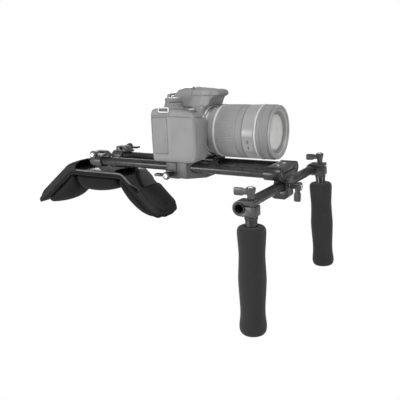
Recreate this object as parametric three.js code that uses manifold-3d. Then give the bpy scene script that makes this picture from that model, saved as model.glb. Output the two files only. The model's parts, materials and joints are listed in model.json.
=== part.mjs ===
// Shoulder camera rig: two 15 mm rods carry a shoulder pad, a camera base with a camera on it, and a
// front bracket whose cross rod holds two foam handles. Millimetres.
// +X is forward (where the lens points), +Y is the operator's left, +Z is up. The origin is the centre
// of the camera base's flat underside.
import * as THREE from "three";
import { mergeVertices } from "three/addons/utils/BufferGeometryUtils.js";
import Module from "manifold-3d";

const wasm = await Module();
wasm.setup();

// ---- driving dimensions ----
const GAP = 0.3; // clearance between touching pieces
const ROUND = 28; // sides of a medium cylinder

const ROD = { radius: 7.5, bore: 6, spacing: 60, z: 17, rear: -209, front: 155 };
const CLAMP_BORE = ROD.radius + GAP; // hole that a rod passes through
const CLAMP_RING = 10; // outer radius of a clamp ring round a rod

const LEVER = { reach: 24, hubTop: 6.6, hubFoot: 4.4, hubLength: 16, thick: 4, screw: 2.6 };

const PAD = {
  halfWidth: 34, // of the plate's flat
  tipHalfWidth: 29, // of the plate at the tips of its wings
  top: -2, // height of the plate's flat top
  thick: 4,
  rearBend: -258, // where the flat ends and the rear wing's bend starts
  frontBend: -152,
  rearAngle: 37.5, // degrees that each wing falls
  frontAngle: 42,
  bendRadius: 24,
  rearWing: 88, // straight length of each wing past its bend
  frontWing: 84,
  liner: 5, // thickness of the padding under the plate
  pocket: 7, // thickness of the pockets over the wings
};

const BASE = { top: 26.5, rear: -45, front: 23, sideRear: -20, sideFront: -1, halfWidth: 42, nose: 20 };
const QUICK_PLATE = { bottom: BASE.top + GAP, top: 31.2, rear: -40, front: 37, halfWidth: 20 };

const CAMERA = {
  bottom: QUICK_PLATE.top + GAP,
  rear: -45,
  front: 25,
  right: -72, // the grip end, on the operator's right
  left: 62,
  shoulder: 112, // top of the body beside the viewfinder housing
  gripFront: 37,
  gripInner: -38,
};
const LENS = { z: 74, flange: 31, radius: 41, front: 139.5, zoomTravel: 22 };

const CROSS_ROD = { x: 145, z: -5.4, halfLength: 150 };
const BRACKET = { rear: 129, front: ROD.front, top: 26, bottom: 7, legHalfWidth: 13, legBottom: -25 };
const HANDLE = {
  x: 157.6,
  y: 140,
  halfWidth: 8.5,
  top: 4.6,
  bottom: -16,
  front: 167,
  barRadius: 8,
  tilt: { right: 0.6, left: 3.4 }, // degrees that each handle's foot leans forward
};
const FOAM = { top: -29.5, bottom: -180.5 };

// ---- colours of the finishes ----
const FINISH = {
  anodised: { color: 0x17181a, roughness: 0.35, metalness: 0.8 },
  bracket: { color: 0x3a3c3f, roughness: 0.45, metalness: 0.7 },
  steel: { color: 0xd8dadc, roughness: 0.25, metalness: 1 },
  lever: { color: 0x202124, roughness: 0.3, metalness: 0.1 },
  plate: { color: 0x8b8e92, roughness: 0.3, metalness: 0.8 },
  fabric: { color: 0x26272a, roughness: 0.95, metalness: 0 },
  foam: { color: 0x333335, roughness: 0.95, metalness: 0 },
  webbing: { color: 0x111113, roughness: 0.9, metalness: 0 },
  shell: { color: 0x9d9d9d, roughness: 0.5, metalness: 0 },
  grip: { color: 0x8c8c8c, roughness: 0.8, metalness: 0 },
  trim: { color: 0xe6e6e6, roughness: 0.3, metalness: 0.6 },
  lens: { color: 0x8d8d8d, roughness: 0.45, metalness: 0 },
  glass: { color: 0xdcdccf, roughness: 0.05, metalness: 0 },
  cell: { color: 0x4a4a4c, roughness: 0.6, metalness: 0 },
};

// ---- solids ----

function solidOf(geometry) {
  const bare = geometry.clone();
  bare.deleteAttribute("normal");
  bare.deleteAttribute("uv");
  const merged = mergeVertices(bare, 1e-4);
  const mesh = new wasm.Mesh({
    numProp: 3,
    vertProperties: merged.attributes.position.array,
    triVerts: new Uint32Array(merged.index.array),
  });
  mesh.merge();
  return new wasm.Manifold(mesh);
}

function geometryOf(solid) {
  const mesh = solid.getMesh();
  const geometry = new THREE.BufferGeometry();
  geometry.setAttribute("position", new THREE.BufferAttribute(new Float32Array(mesh.vertProperties), 3));
  geometry.setIndex(new THREE.BufferAttribute(new Uint32Array(mesh.triVerts), 1));
  geometry.computeVertexNormals();
  return geometry;
}

function join(first, ...others) {
  return geometryOf(others.reduce((sum, g) => sum.add(solidOf(g)), solidOf(first)));
}

function cut(stock, ...tools) {
  return geometryOf(tools.reduce((rest, g) => rest.subtract(solidOf(g)), solidOf(stock)));
}

function common(first, second) {
  return geometryOf(solidOf(first).intersect(solidOf(second)));
}

function moved(geometry, x, y, z) {
  return geometry.clone().translate(x, y, z);
}

// The frames that an outline can be drawn in, each as [u, v, w]: the outline's two directions and the
// direction it is extruded in. "x" draws in (y, z), "y" in (x, z) and extrudes towards -Y, "z" in (x, y).
const AXES = {
  x: [new THREE.Vector3(0, 1, 0), new THREE.Vector3(0, 0, 1), new THREE.Vector3(1, 0, 0)],
  y: [new THREE.Vector3(1, 0, 0), new THREE.Vector3(0, 0, 1), new THREE.Vector3(0, -1, 0)],
  z: [new THREE.Vector3(1, 0, 0), new THREE.Vector3(0, 1, 0), new THREE.Vector3(0, 0, 1)],
};

// A prism of an outline between two heights on an axis, with its ends rounded by `soft`.
function prism(outline, axis, low, high, soft = 0, steps = 2) {
  const pointsOf = (list) => list.map(([u, v]) => new THREE.Vector2(u, v));
  const shape = outline instanceof THREE.Shape ? outline : new THREE.Shape(pointsOf(outline));
  const geometry = new THREE.ExtrudeGeometry(shape, {
    depth: high - low - 2 * soft,
    bevelEnabled: soft > 0,
    bevelThickness: soft,
    bevelSize: soft,
    bevelOffset: -soft,
    bevelSegments: steps,
    curveSegments: 5,
  });
  geometry.translate(0, 0, soft);
  geometry.applyMatrix4(new THREE.Matrix4().makeBasis(...AXES[axis]));
  const shift = { x: 0, y: 0, z: 0, [axis]: axis === "y" ? high : low };
  return geometry.translate(shift.x, shift.y, shift.z);
}

function roundedRect(u0, v0, u1, v1, r) {
  const shape = new THREE.Shape();
  shape.moveTo(u0 + r, v0);
  shape.lineTo(u1 - r, v0);
  shape.absarc(u1 - r, v0 + r, r, -Math.PI / 2, 0, false);
  shape.lineTo(u1, v1 - r);
  shape.absarc(u1 - r, v1 - r, r, 0, Math.PI / 2, false);
  shape.lineTo(u0 + r, v1);
  shape.absarc(u0 + r, v1 - r, r, Math.PI / 2, Math.PI, false);
  shape.lineTo(u0, v0 + r);
  shape.absarc(u0 + r, v0 + r, r, Math.PI, 1.5 * Math.PI, false);
  return shape;
}

// A turned piece: `profile` lists [radius, height] round it, and it stands on `axis` at (x, y, z).
function turned(profile, axis, x = 0, y = 0, z = 0, sides = ROUND) {
  const points = profile.map(([r, h]) => new THREE.Vector2(r, h));
  const closed = profile[0][0] > 0 ? [...points, points[0]] : points;
  if (THREE.ShapeUtils.area(points) < 0) closed.reverse();
  const geometry = new THREE.LatheGeometry(closed, sides);
  if (axis === "x") geometry.rotateZ(-Math.PI / 2);
  if (axis === "z") geometry.rotateX(Math.PI / 2);
  return geometry.translate(x, y, z);
}

function bar(radius, low, high, axis, x = 0, y = 0, z = 0, sides = ROUND) {
  return turned([[0, low], [radius, low], [radius, high], [0, high]], axis, x, y, z, sides);
}

function tube(bore, radius, low, high, axis, x = 0, y = 0, z = 0, sides = ROUND) {
  return turned([[bore, low], [radius, low], [radius, high], [bore, high]], axis, x, y, z, sides);
}

function box(x0, y0, z0, x1, y1, z1) {
  const geometry = new THREE.BoxGeometry(x1 - x0, y1 - y0, z1 - z0);
  return geometry.translate((x0 + x1) / 2, (y0 + y1) / 2, (z0 + z1) / 2);
}

const rig = new THREE.Group();

function add(name, geometry, finish) {
  const mesh = new THREE.Mesh(geometry, new THREE.MeshStandardMaterial(FINISH[finish]));
  mesh.name = name;
  rig.add(mesh);
  return mesh;
}

const SIDES = [
  { name: "right", sign: -1 },
  { name: "left", sign: 1 },
];

// ---- lever screw, used six times ----
// The hub stands on +Z with its narrow foot at 0, and the paddle points to +X before it is turned.

function leverHub() {
  const { reach, hubTop, hubFoot, hubLength, thick, screw } = LEVER;
  const profile = [
    [0, 0], [hubFoot, 0], [hubFoot + 0.4, hubLength * 0.35], [hubTop, hubLength * 0.7],
    [hubTop, hubLength], [0, hubLength],
  ];
  const hub = turned(profile, "z", 0, 0, 0, 20);
  const top = hubLength - 1;
  const outline = new THREE.Shape();
  outline.moveTo(0, top - 9);
  outline.quadraticCurveTo(9, top - 8.4, 12, top - 10.4);
  outline.lineTo(reach - 2, top - 10.4);
  outline.quadraticCurveTo(reach, top - 10.4, reach, top - 8.4);
  outline.lineTo(reach, top - 2);
  outline.quadraticCurveTo(reach, top, reach - 2, top);
  outline.lineTo(12, top);
  outline.quadraticCurveTo(8, top - 1.6, 0, top - 1.6);
  const wing = prism(outline, "y", -thick / 2, thick / 2);
  return cut(join(hub, wing), bar(screw + GAP, -1, hubLength + 1, "z", 0, 0, 0, 12));
}

function leverScrew(tip) {
  const { screw, hubLength } = LEVER;
  const top = hubLength + 1;
  const profile = [
    [0, -tip], [screw - 0.4, -tip], [screw, 0.6 - tip], [screw, top - 0.4], [screw - 0.8, top], [0, top],
  ];
  return turned(profile, "z", 0, 0, 0, 12);
}

// A lever with its screw. `place` turns and moves the shared shapes to where they are used.
function addLever(name, place, tip) {
  const matrix = place();
  add(name + "_lever", leverHub().applyMatrix4(matrix), "lever");
  add(name + "_screw", leverScrew(tip).applyMatrix4(matrix), "steel");
}

// The matrix that stands a lever on `axis` at a point, with its paddle towards `paddle`.
function standing(axis, paddle, x, y, z) {
  const w = new THREE.Vector3(...axis);
  const u = new THREE.Vector3(...paddle);
  const v = new THREE.Vector3().crossVectors(w, u);
  return new THREE.Matrix4().makeBasis(u, v, w).setPosition(x, y, z);
}

// ---- rods ----

for (const { name, sign } of SIDES) {
  const y = (sign * ROD.spacing) / 2;
  add("rod_" + name, tube(ROD.bore, ROD.radius, ROD.rear, ROD.front, "x", 0, y, ROD.z), "anodised");
  const plug = turned(
    [[0, -2.6], [6.4, -2.6], [7.3, -1.6], [7.3, -GAP], [5.6, -GAP], [5.6, 9], [0, 9]],
    "x", ROD.rear, y, ROD.z, 20,
  );
  add("rod_plug_" + name, plug, "anodised");
}

// ---- shoulder support ----

const SHOULDER = {
  ringRear: -208,
  ringFront: -184,
  earRear: -199,
  earShoulder: -176, // where the top starts to fall
  earFront: -166,
  earTop: 35.4,
  leverX: -188,
  leverZ: 31,
  halfWidth: 34, // of the pedestal
};

function addShoulderClamp(name, sign) {
  const y = (sign * ROD.spacing) / 2;
  const { ringRear, ringFront, earRear, earShoulder, earFront, earTop, leverX, leverZ } = SHOULDER;
  const ring = bar(CLAMP_RING, ringRear, ringFront, "x", 0, y, ROD.z);
  const foot = box(ringRear + 4, y - 8, 9.3, ringFront, y + 8, ROD.z);
  const earOutline = [
    [earRear, ROD.z + 8], [earFront, ROD.z + 8], [earFront, ROD.z + 10.5], [earShoulder, earTop - 1],
    [earShoulder - 3, earTop], [earRear + 3, earTop], [earRear + 0.8, earTop - 1], [earRear, earTop - 3],
  ];
  const ear = prism(earOutline, "y", y - 6.5, y + 6.5);
  const web = box(ringRear + 4, y - 6, ROD.z, ringFront, y + 6, ROD.z + 9);
  const slit = box(ringRear - 1, y - 0.7, ROD.z + 6, ringFront + 1, y + 0.7, earTop + 1);
  const screwHole = bar(LEVER.screw + GAP, y - 10, y + 10, "y", leverX, 0, leverZ, 12);
  const rodHole = bar(CLAMP_BORE, ringRear - 1, earFront + 1, "x", 0, y, ROD.z);
  add("shoulder_clamp_" + name, cut(join(ring, foot, web, ear), rodHole, slit, screwHole), "bracket");
}

for (const { name, sign } of SIDES) {
  addShoulderClamp(name, sign);
  const face = sign * (ROD.spacing / 2 + 6.5 + 1.2);
  const { leverX, leverZ } = SHOULDER;
  addLever("shoulder_" + name, () => standing([0, sign, 0], [1, 0, 0], leverX, face, leverZ), 12);
}

// Pedestal between the rods and the pad plate: narrow at its foot, wide under the rods, with a groove
// that each clamp ring lies in.
function shoulderPedestal() {
  const foot = PAD.top + GAP;
  const { ringRear, ringFront } = SHOULDER;
  const side = [
    [-186, foot], [-160, foot], [-150, 4], [-133, 7],
    [-133, 9], [-204, 9], [-204, 6], [-194, 3],
  ];
  const grooves = SIDES.map(({ sign }) => {
    const y = (sign * ROD.spacing) / 2;
    return bar(CLAMP_RING + GAP, ringRear - 1, ringFront + GAP, "x", 0, y, ROD.z);
  });
  return cut(prism(side, "y", -SHOULDER.halfWidth, SHOULDER.halfWidth), ...grooves);
}
add("shoulder_pedestal", shoulderPedestal(), "anodised");

// The pad plate's middle line from its rear tip to its front tip, as points with unit normals (upward).
// `h` is the height above the plate's top face.
function padLine(h, rearLength, frontLength, rearStart = Infinity, frontStart = Infinity) {
  const { top, rearBend, frontBend, rearAngle, frontAngle, bendRadius } = PAD;
  const points = [];
  const radius = bendRadius + h;
  const steps = 4;
  const rear = THREE.MathUtils.degToRad(rearAngle);
  const front = THREE.MathUtils.degToRad(frontAngle);
  const rearFoot = [rearBend - radius * Math.sin(rear), top - bendRadius + radius * Math.cos(rear)];
  const frontFoot = [frontBend + radius * Math.sin(front), top - bendRadius + radius * Math.cos(front)];
  points.push([rearFoot[0] - rearLength * Math.cos(rear), rearFoot[1] - rearLength * Math.sin(rear)]);
  for (let i = 0; i <= steps; i++) {
    const a = rear * (1 - i / steps);
    points.push([rearBend - radius * Math.sin(a), top - bendRadius + radius * Math.cos(a)]);
  }
  for (let i = 0; i <= steps; i++) {
    const a = (front * i) / steps;
    points.push([frontBend + radius * Math.sin(a), top - bendRadius + radius * Math.cos(a)]);
  }
  points.push([frontFoot[0] + frontLength * Math.cos(front), frontFoot[1] - frontLength * Math.sin(front)]);
  return points;
}

function padLayer(low, high, rearLength, frontLength, halfWidth) {
  const upper = padLine(high, rearLength, frontLength);
  const lower = padLine(low, rearLength, frontLength).reverse();
  return prism([...upper, ...lower], "y", -halfWidth, halfWidth);
}

// The point on a wing at a distance past its bend and a height above the plate's top face.
function onWing(wing, along, h) {
  const radius = PAD.bendRadius + h;
  const front = wing === "front";
  const angle = THREE.MathUtils.degToRad(front ? PAD.frontAngle : PAD.rearAngle);
  const forward = front ? 1 : -1;
  const bend = front ? PAD.frontBend : PAD.rearBend;
  return [
    bend + forward * (radius * Math.sin(angle) + along * Math.cos(angle)),
    PAD.top - PAD.bendRadius + radius * Math.cos(angle) - along * Math.sin(angle),
  ];
}

// The fabric cover: each pocket's mouth, how far each tip passes the plate's, and the slanted side faces.
const COVER = {
  mouthTurn: 0.35, // share of the rear bend's turn at which the rear pocket opens
  frontMouth: 35,
  rearTip: 23,
  frontTip: 12,
  halfWidth: 35,
  sideTop: 24,
  sideFoot: -3.6,
};

function padPlate() {
  const { halfWidth, tipHalfWidth, thick, rearWing, frontWing } = PAD;
  const rearTip = onWing("rear", rearWing, 0)[0] - 3;
  const frontTip = onWing("front", frontWing, 0)[0] + 3;
  const [rearFoot] = onWing("rear", 8, 0);
  const [frontFoot] = onWing("front", 14, 0);
  const side = [
    [rearTip, tipHalfWidth], [rearFoot, halfWidth], [frontFoot, halfWidth],
    [onWing("front", COVER.frontMouth - 3, 0)[0], tipHalfWidth - 2], [frontTip, tipHalfWidth - 3],
  ];
  const plan = [...side, ...side.map(([x, y]) => [x, -y]).reverse()];
  return common(padLayer(-thick, 0, rearWing, frontWing, halfWidth + 1), prism(plan, "z", -110, 20));
}
add("pad_plate", padPlate(), "plate");

// The fabric cover: a padded layer under the plate that turns round both tips into a pocket on each wing.

// A point over the rear bend, at a share of its turn and a height above the plate's top face.
function onRearBend(share, h) {
  const angle = THREE.MathUtils.degToRad(PAD.rearAngle * share);
  const radius = PAD.bendRadius + h;
  return [PAD.rearBend - radius * Math.sin(angle), PAD.top - PAD.bendRadius + radius * Math.cos(angle)];
}

function padCover() {
  const under = -PAD.thick - GAP;
  const tipRear = PAD.rearWing + COVER.rearTip;
  const tipFront = PAD.frontWing + COVER.frontTip;
  const middle = COVER.mouthTurn + 0.35;
  const outline = [
    onRearBend(COVER.mouthTurn, GAP),
    onRearBend(COVER.mouthTurn, PAD.pocket),
    onRearBend(middle, PAD.pocket + 1),
    onWing("rear", 2, PAD.pocket + 1),
    onWing("rear", tipRear - 22, PAD.pocket),
    onWing("rear", tipRear, 1),
    onWing("rear", tipRear - 2, -2.5),
    ...padLine(under - PAD.liner, tipRear - 31, tipFront - 12),
    onWing("front", tipFront - 2, -8),
    onWing("front", tipFront, -2),
    onWing("front", tipFront - 5, PAD.pocket - 1),
    onWing("front", COVER.frontMouth, PAD.pocket),
    onWing("front", COVER.frontMouth, GAP),
    onWing("front", PAD.frontWing + GAP, GAP),
    ...padLine(under, PAD.rearWing + GAP, PAD.frontWing + GAP).reverse(),
    onWing("rear", PAD.rearWing + GAP, GAP),
    onWing("rear", 0, GAP),
    onRearBend(middle, GAP),
  ];
  const { halfWidth } = COVER;
  const across = (along, half) => [onWing("front", along, 0)[0], half];
  const side = [
    [-400, halfWidth], across(78, halfWidth), across(85, 33.4), across(90, 30),
    across(93.5, 25), across(95.5, 18), across(97, 8),
  ];
  const plan = [...side, ...side.map(([x, y]) => [x, -y]).reverse()];
  const stock = prism(outline, "y", -halfWidth - 1, halfWidth + 1);
  const cover = common(stock, prism(plan, "z", -120, 40));
  return cut(cover, ...SIDES.map(({ sign }) => slantedSide(sign, tipFront)));
}

// What is cut from one side of the front pocket, so that its side slants from the face down to the piping.
function slantedSide(sign, length) {
  const { halfWidth, sideTop, sideFoot, frontMouth } = COVER;
  const section = [
    [sideTop, 9], [sideTop, PAD.pocket - 0.6], [halfWidth + 1, sideFoot], [halfWidth + 3, 9],
  ];
  const start = onWing("front", frontMouth - 4, 0);
  return prism(section.map(([y, h]) => [sign * y, h]), "x", 0, length)
    .rotateY(THREE.MathUtils.degToRad(PAD.frontAngle))
    .translate(start[0], 0, start[1]);
}
add("pad_cover", padCover(), "fabric");

// Stuffed cushions: crowned forms under the cover, each between two stations along the plate's middle
// line. `foot` is the line along the bottom of the crown.
const CUSHION = { halfWidth: 33.4, rings: 14, sides: 20, side: 0.16 };
const CUSHION_TOP = -PAD.thick - GAP - PAD.liner - 0.6; // height against the plate's top face

// A point at a distance along the plate from its middle, negative to the rear, and a height above its
// top face.
function onPlate(distance, h) {
  const { top, rearBend, frontBend, rearAngle, frontAngle, bendRadius } = PAD;
  const front = distance > 0;
  const flat = (frontBend - rearBend) / 2;
  const past = Math.abs(distance) - flat;
  const angle = THREE.MathUtils.degToRad(front ? frontAngle : rearAngle);
  if (past <= 0) return [(rearBend + frontBend) / 2 + distance, top + h];
  if (past >= bendRadius * angle) return onWing(front ? "front" : "rear", past - bendRadius * angle, h);
  const a = past / bendRadius;
  const forward = (bendRadius + h) * Math.sin(a);
  const height = top - bendRadius + (bendRadius + h) * Math.cos(a);
  return [front ? frontBend + forward : rearBend - forward, height];
}

function cushion(start, end, foot) {
  const { halfWidth, rings, sides, side } = CUSHION;
  const curve = new THREE.SplineCurve(foot.map(([x, z]) => new THREE.Vector2(x, z)));
  const bottom = curve.getSpacedPoints(rings);
  const positions = [];
  const faces = [];
  bottom.forEach((low, i) => {
    const u = i / rings;
    const [x, z] = onPlate(start + (end - start) * u, CUSHION_TOP);
    const width = halfWidth * (0.84 + 0.16 * Math.sqrt(1 - Math.abs(2 * u - 1) ** 7));
    for (let k = 0; k < sides; k++) {
      const a = (2 * Math.PI * (k + 0.5)) / sides;
      const [c, q] = [Math.cos(a), Math.sin(a)];
      const depth = q > 0 ? side * (1 - Math.sqrt(q)) : side + (1 - side) * Math.abs(q) ** 0.82;
      const y = width * Math.sign(c) * Math.abs(c) ** 0.72;
      positions.push(x + (low.x - x) * depth, y, z + (low.y - z) * depth);
    }
  });
  const at = (i, k) => i * sides + (k % sides);
  for (let i = 0; i < rings; i++) {
    for (let k = 0; k < sides; k++) {
      faces.push(at(i, k), at(i, k + 1), at(i + 1, k + 1), at(i, k), at(i + 1, k + 1), at(i + 1, k));
    }
  }
  for (let k = 1; k < sides - 1; k++) {
    faces.push(at(0, 0), at(0, k + 1), at(0, k), at(rings, 0), at(rings, k), at(rings, k + 1));
  }
  const geometry = new THREE.BufferGeometry();
  geometry.setAttribute("position", new THREE.Float32BufferAttribute(positions, 3));
  geometry.setIndex(faces);
  return geometry;
}

const CENTRE_FOOT = [
  [-257, -15], [-257.4, -27], [-256, -36], [-250, -42], [-238, -44.8], [-224, -45.4], [-210, -44.8],
  [-194.7, -42.8], [-180, -39.6], [-167, -35.6], [-158.4, -30.4], [-156, -23], [-157, -14],
];
const REAR_FOOT = [
  [-347, -78], [-340, -77.4], [-328, -76], [-315, -74], [-300, -70.6], [-286.5, -65], [-276, -58],
  [-268, -50], [-261.6, -42.4], [-258.8, -34], [-258.6, -25], [-259, -15],
];
const FRONT_FOOT = [
  [-153.6, -17.5], [-154.6, -26], [-153.4, -35], [-148.6, -42.6], [-142.2, -51.4], [-134, -60],
  [-124.2, -67.6], [-113.4, -74], [-104.2, -77.6], [-95, -79.4], [-87, -80.2], [-80, -80.6],
];
add("cushion_centre", cushion(-51, 50, CENTRE_FOOT), "fabric");
add("cushion_rear", cushion(-156, -53, REAR_FOOT), "fabric");
add("cushion_front", cushion(53, 151, FRONT_FOOT), "fabric");

// ---- camera base ----

// The holes that both rods pass through, between two positions along the rods.
function rodHoles(rear, front) {
  return SIDES.map(({ sign }) => bar(CLAMP_BORE, rear, front, "x", 0, (sign * ROD.spacing) / 2, ROD.z));
}

function baseBlock() {
  const { top, rear, front, sideRear, sideFront, halfWidth, nose } = BASE;
  const waist = 21.5;
  const outline = [
    [rear, -waist], [sideRear, -waist], [sideRear, -halfWidth], [sideFront, -halfWidth], [front, -nose],
    [front, nose], [sideFront, halfWidth], [sideRear, halfWidth], [sideRear, waist], [rear, waist],
  ];
  const keyway = QUICK_PLATE.halfWidth - 7;
  const groove = box(rear - 1, -keyway, top - 3, front + 1, keyway, top + 1);
  return cut(prism(outline, "z", 0, top, 0.8, 1), ...rodHoles(rear - 1, front + 1), groove);
}
add("base_block", baseBlock(), "bracket");

// Split jaw round one rod behind the base block: its upper lip overhangs the lower one.
const JAW = {
  rear: -40,
  lowerRear: -46,
  front: BASE.sideRear - GAP,
  split: 11.2, // height of the slit between its lips
  leverX: -33.5,
  leverZ: 5,
};
function baseJaw() {
  const inner = 21.5 + GAP;
  const upper = prism(roundedRect(-42, JAW.split, -inner, BASE.top - 0.5, 2), "x", JAW.rear, JAW.front);
  const lower = box(JAW.lowerRear, -36, -2.4, JAW.front, -inner, JAW.split + 0.5);
  const spine = box(JAW.rear, -inner - 2, 0, JAW.front, -inner, BASE.top - 1);
  const rodHole = bar(CLAMP_BORE, JAW.lowerRear - 1, JAW.front + 1, "x", 0, -ROD.spacing / 2, ROD.z);
  const { lowerRear, split } = JAW;
  const slit = box(lowerRear - 1, -50, split - 0.6, JAW.front + 1, -ROD.spacing / 2, split + 0.8);
  const screwHole = bar(LEVER.screw + GAP, -40, -26, "y", JAW.leverX, 0, JAW.leverZ, 12);
  return cut(join(upper, lower, spine), rodHole, slit, screwHole);
}
add("base_jaw", baseJaw(), "plate");
addLever("base", () => standing([0, -1, 0], [-1, 0, 0], JAW.leverX, -38.2, JAW.leverZ), 10);

function quickPlate() {
  const { bottom, top, rear, front, halfWidth } = QUICK_PLATE;
  const plate = prism(roundedRect(rear, -halfWidth, front, halfWidth, 3), "z", bottom, top);
  const lip = prism(roundedRect(front - 7, -15, front, 15, 2), "z", bottom, top + 3.4);
  const keyHalf = halfWidth - 7.5;
  const key = box(rear + 6, -keyHalf, BASE.top - 2.6, 18, keyHalf, bottom + 1);
  const screwHole = bar(3.6, bottom - 10, top + 1, "z", 0, 0, 0, 16);
  const headHole = bar(8.3, bottom - 10, bottom + 1.5, "z", 0, 0, 0, 20);
  return cut(join(plate, lip, key), screwHole, headHole);
}
add("quick_plate", quickPlate(), "anodised");

// Quarter-inch camera screw, up through the quick plate into the camera.
function cameraScrew() {
  const foot = BASE.top - 2.3;
  const head = QUICK_PLATE.bottom + 1.2;
  const profile = [[0, foot], [8, foot], [8, head], [3.2, head], [3.2, head + 9], [0, head + 9]];
  return turned(profile, "z", 0, 0, 0, 16);
}
add("camera_screw", cameraScrew(), "steel");

// ---- camera ----

const DIAL = { x: -19, y: -44, radius: 12.8, bottom: 121.6, top: 127.8 };
const BUTTON = { x: 21, y: -56, radius: 4.6, top: 112.2 };

function cameraBody() {
  const { bottom, rear, front, right, left, shoulder, gripFront, gripInner } = CAMERA;
  const side = new THREE.Shape();
  side.moveTo(rear + 6, bottom);
  side.lineTo(front, bottom);
  side.quadraticCurveTo(gripFront - 1, bottom, gripFront - 1, bottom + 11);
  side.lineTo(gripFront, 98);
  side.quadraticCurveTo(gripFront - 1, 109, 24, 109.5);
  side.lineTo(-10, shoulder);
  side.lineTo(rear + 16, 115);
  side.quadraticCurveTo(rear, 114, rear, 100);
  side.lineTo(rear, bottom + 8);
  const grip = prism(side, "y", right, gripInner, 3.5, 2);
  const main = prism(roundedRect(rear, bottom, front, shoulder, 4), "y", gripInner - 8, left, 3, 2);
  const dialStand = bar(13.6, shoulder - 6, DIAL.bottom - GAP, "z", DIAL.x, DIAL.y);
  const throat = bar(22, 2, front + 1, "x", 0, 0, LENS.z);
  const buttonHole = bar(BUTTON.radius + GAP, BUTTON.top - 6, 130, "z", BUTTON.x, BUTTON.y, 0, 16);
  const cellBay = box(-30, -62, bottom - 1, 12, -44, bottom + 46);
  const doorBay = box(rear - 2 + 5, right - 1, 44, -13.6, right + 2.3, 100);
  const bush = bar(3.6, bottom - 1, bottom + 9, "z", 0, 0, 0, 16);
  return cut(join(grip, main, dialStand), throat, buttonHole, cellBay, doorBay, bush);
}
add("camera_body", cameraBody(), "shell");

// Viewfinder housing: a side profile narrowed towards its top, without the flash head at its front.
function housingStock() {
  const profile = new THREE.Shape();
  profile.moveTo(CAMERA.rear + 4, CAMERA.shoulder + GAP);
  profile.lineTo(31, CAMERA.shoulder + GAP);
  profile.quadraticCurveTo(34, 123, 42, 126.6);
  profile.lineTo(46.5, 127.6);
  profile.quadraticCurveTo(50, 132, 46.5, 136.8);
  profile.lineTo(-8, 141.5);
  profile.quadraticCurveTo(-26, 142, -30, 136);
  profile.lineTo(CAMERA.rear + 4, 122);
  const section = [
    [-34, CAMERA.shoulder], [34, CAMERA.shoulder], [28, 118], [23.5, 127], [20, 138], [17, 144],
    [-17, 144], [-20, 138], [-23.5, 127], [-28, 118],
  ];
  const edge = [[CAMERA.rear, 33], [8, 33], [28, 29], [38, 24], [45, 21], [50, 17.5]];
  const plan = [...edge.map(([x, y]) => [x, -y]), ...edge.reverse()];
  const lengthwise = common(prism(profile, "y", -40, 40), prism(section, "x", CAMERA.rear, 60));
  return common(lengthwise, prism(plan, "z", 100, 160));
}
const FLASH = { rear: 2, floor: 129.5 };
const flashRegion = (grow) => box(FLASH.rear - grow, -40, FLASH.floor - grow, 70, 40, 150);
// The housing clears the mode dial on the grip side.
const dialRoom = bar(DIAL.radius + 1.4, 110, 150, "z", DIAL.x, DIAL.y);
add("viewfinder_housing", cut(housingStock(), flashRegion(GAP), dialRoom), "shell");
add("flash_head", cut(common(housingStock(), flashRegion(0)), dialRoom), "shell");

add(
  "eyepiece",
  cut(
    prism(roundedRect(-14, 115, 14, 131, 4), "x", CAMERA.rear - 4, CAMERA.rear - GAP),
    prism(roundedRect(-9, 118.5, 9, 127.5, 2), "x", CAMERA.rear - 5, CAMERA.rear - 2),
  ),
  "grip",
);
const screenOutline = roundedRect(-38, 42, 42, 100, 3);
add("rear_screen", prism(screenOutline, "x", CAMERA.rear - 2.2, CAMERA.rear - GAP), "cell");
const doorOutline = roundedRect(CAMERA.rear + 3.4, 44.4, -14, 99.6, 1.5);
add("card_door", prism(doorOutline, "y", CAMERA.right + 0.1, CAMERA.right + 2), "shell");
add("camera_cell", box(-29.6, -61.6, CAMERA.bottom + 0.4, 11.6, -44.4, CAMERA.bottom + 45), "cell");

// A round control that stands on Z, with the edge of its top broken by `edge`.
function knob({ x, y, radius, bottom, top }, edge, sides) {
  const profile = [[0, bottom], [radius, bottom], [radius, top - edge], [radius - edge, top], [0, top]];
  return turned(profile, "z", x, y, 0, sides);
}
add("mode_dial", knob(DIAL, 1.2, 32), "trim");
add("shutter_button", knob({ ...BUTTON, bottom: BUTTON.top - 4 }, 1, 16), "trim");
// Strap loop on the grip-side shoulder.
add(
  "strap_lug",
  cut(
    prism(roundedRect(-27, 108.2, -9, 114.6, 2), "y", CAMERA.right - 2.4, CAMERA.right - GAP),
    prism(roundedRect(-24.6, 110, -11.4, 112.8, 1), "y", CAMERA.right - 4, CAMERA.right + 1),
  ),
  "trim",
);

// ---- lens ----

const lensTurned = (profile, sides = 40) => turned(profile, "x", 0, 0, LENS.z, sides);
const ZOOM = { rear: 52.3, front: 95 };
const FIXED_FRONT = 115;
const outer = LENS.radius;
const mountProfile = [
  [22, 25.3], [34, 25.3], [34, 28.4], [31, LENS.flange - GAP], [22, LENS.flange - GAP],
];
// The fixed barrel, with a channel for the zoom ring.
const barrelProfile = [
  [27, LENS.flange], [36, LENS.flange], [38, 38], [39.4, 44], [39.8, ZOOM.rear - GAP],
  [36.6, ZOOM.rear - GAP], [36.6, ZOOM.front + GAP], [outer, ZOOM.front + GAP],
  [outer, FIXED_FRONT], [34.3, FIXED_FRONT], [34.3, 58], [27, 58],
];
const zoomRingProfile = [
  [36.9, ZOOM.rear], [outer - 0.4, ZOOM.rear], [outer, ZOOM.rear + 1],
  [outer, ZOOM.front], [36.9, ZOOM.front],
];
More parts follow.
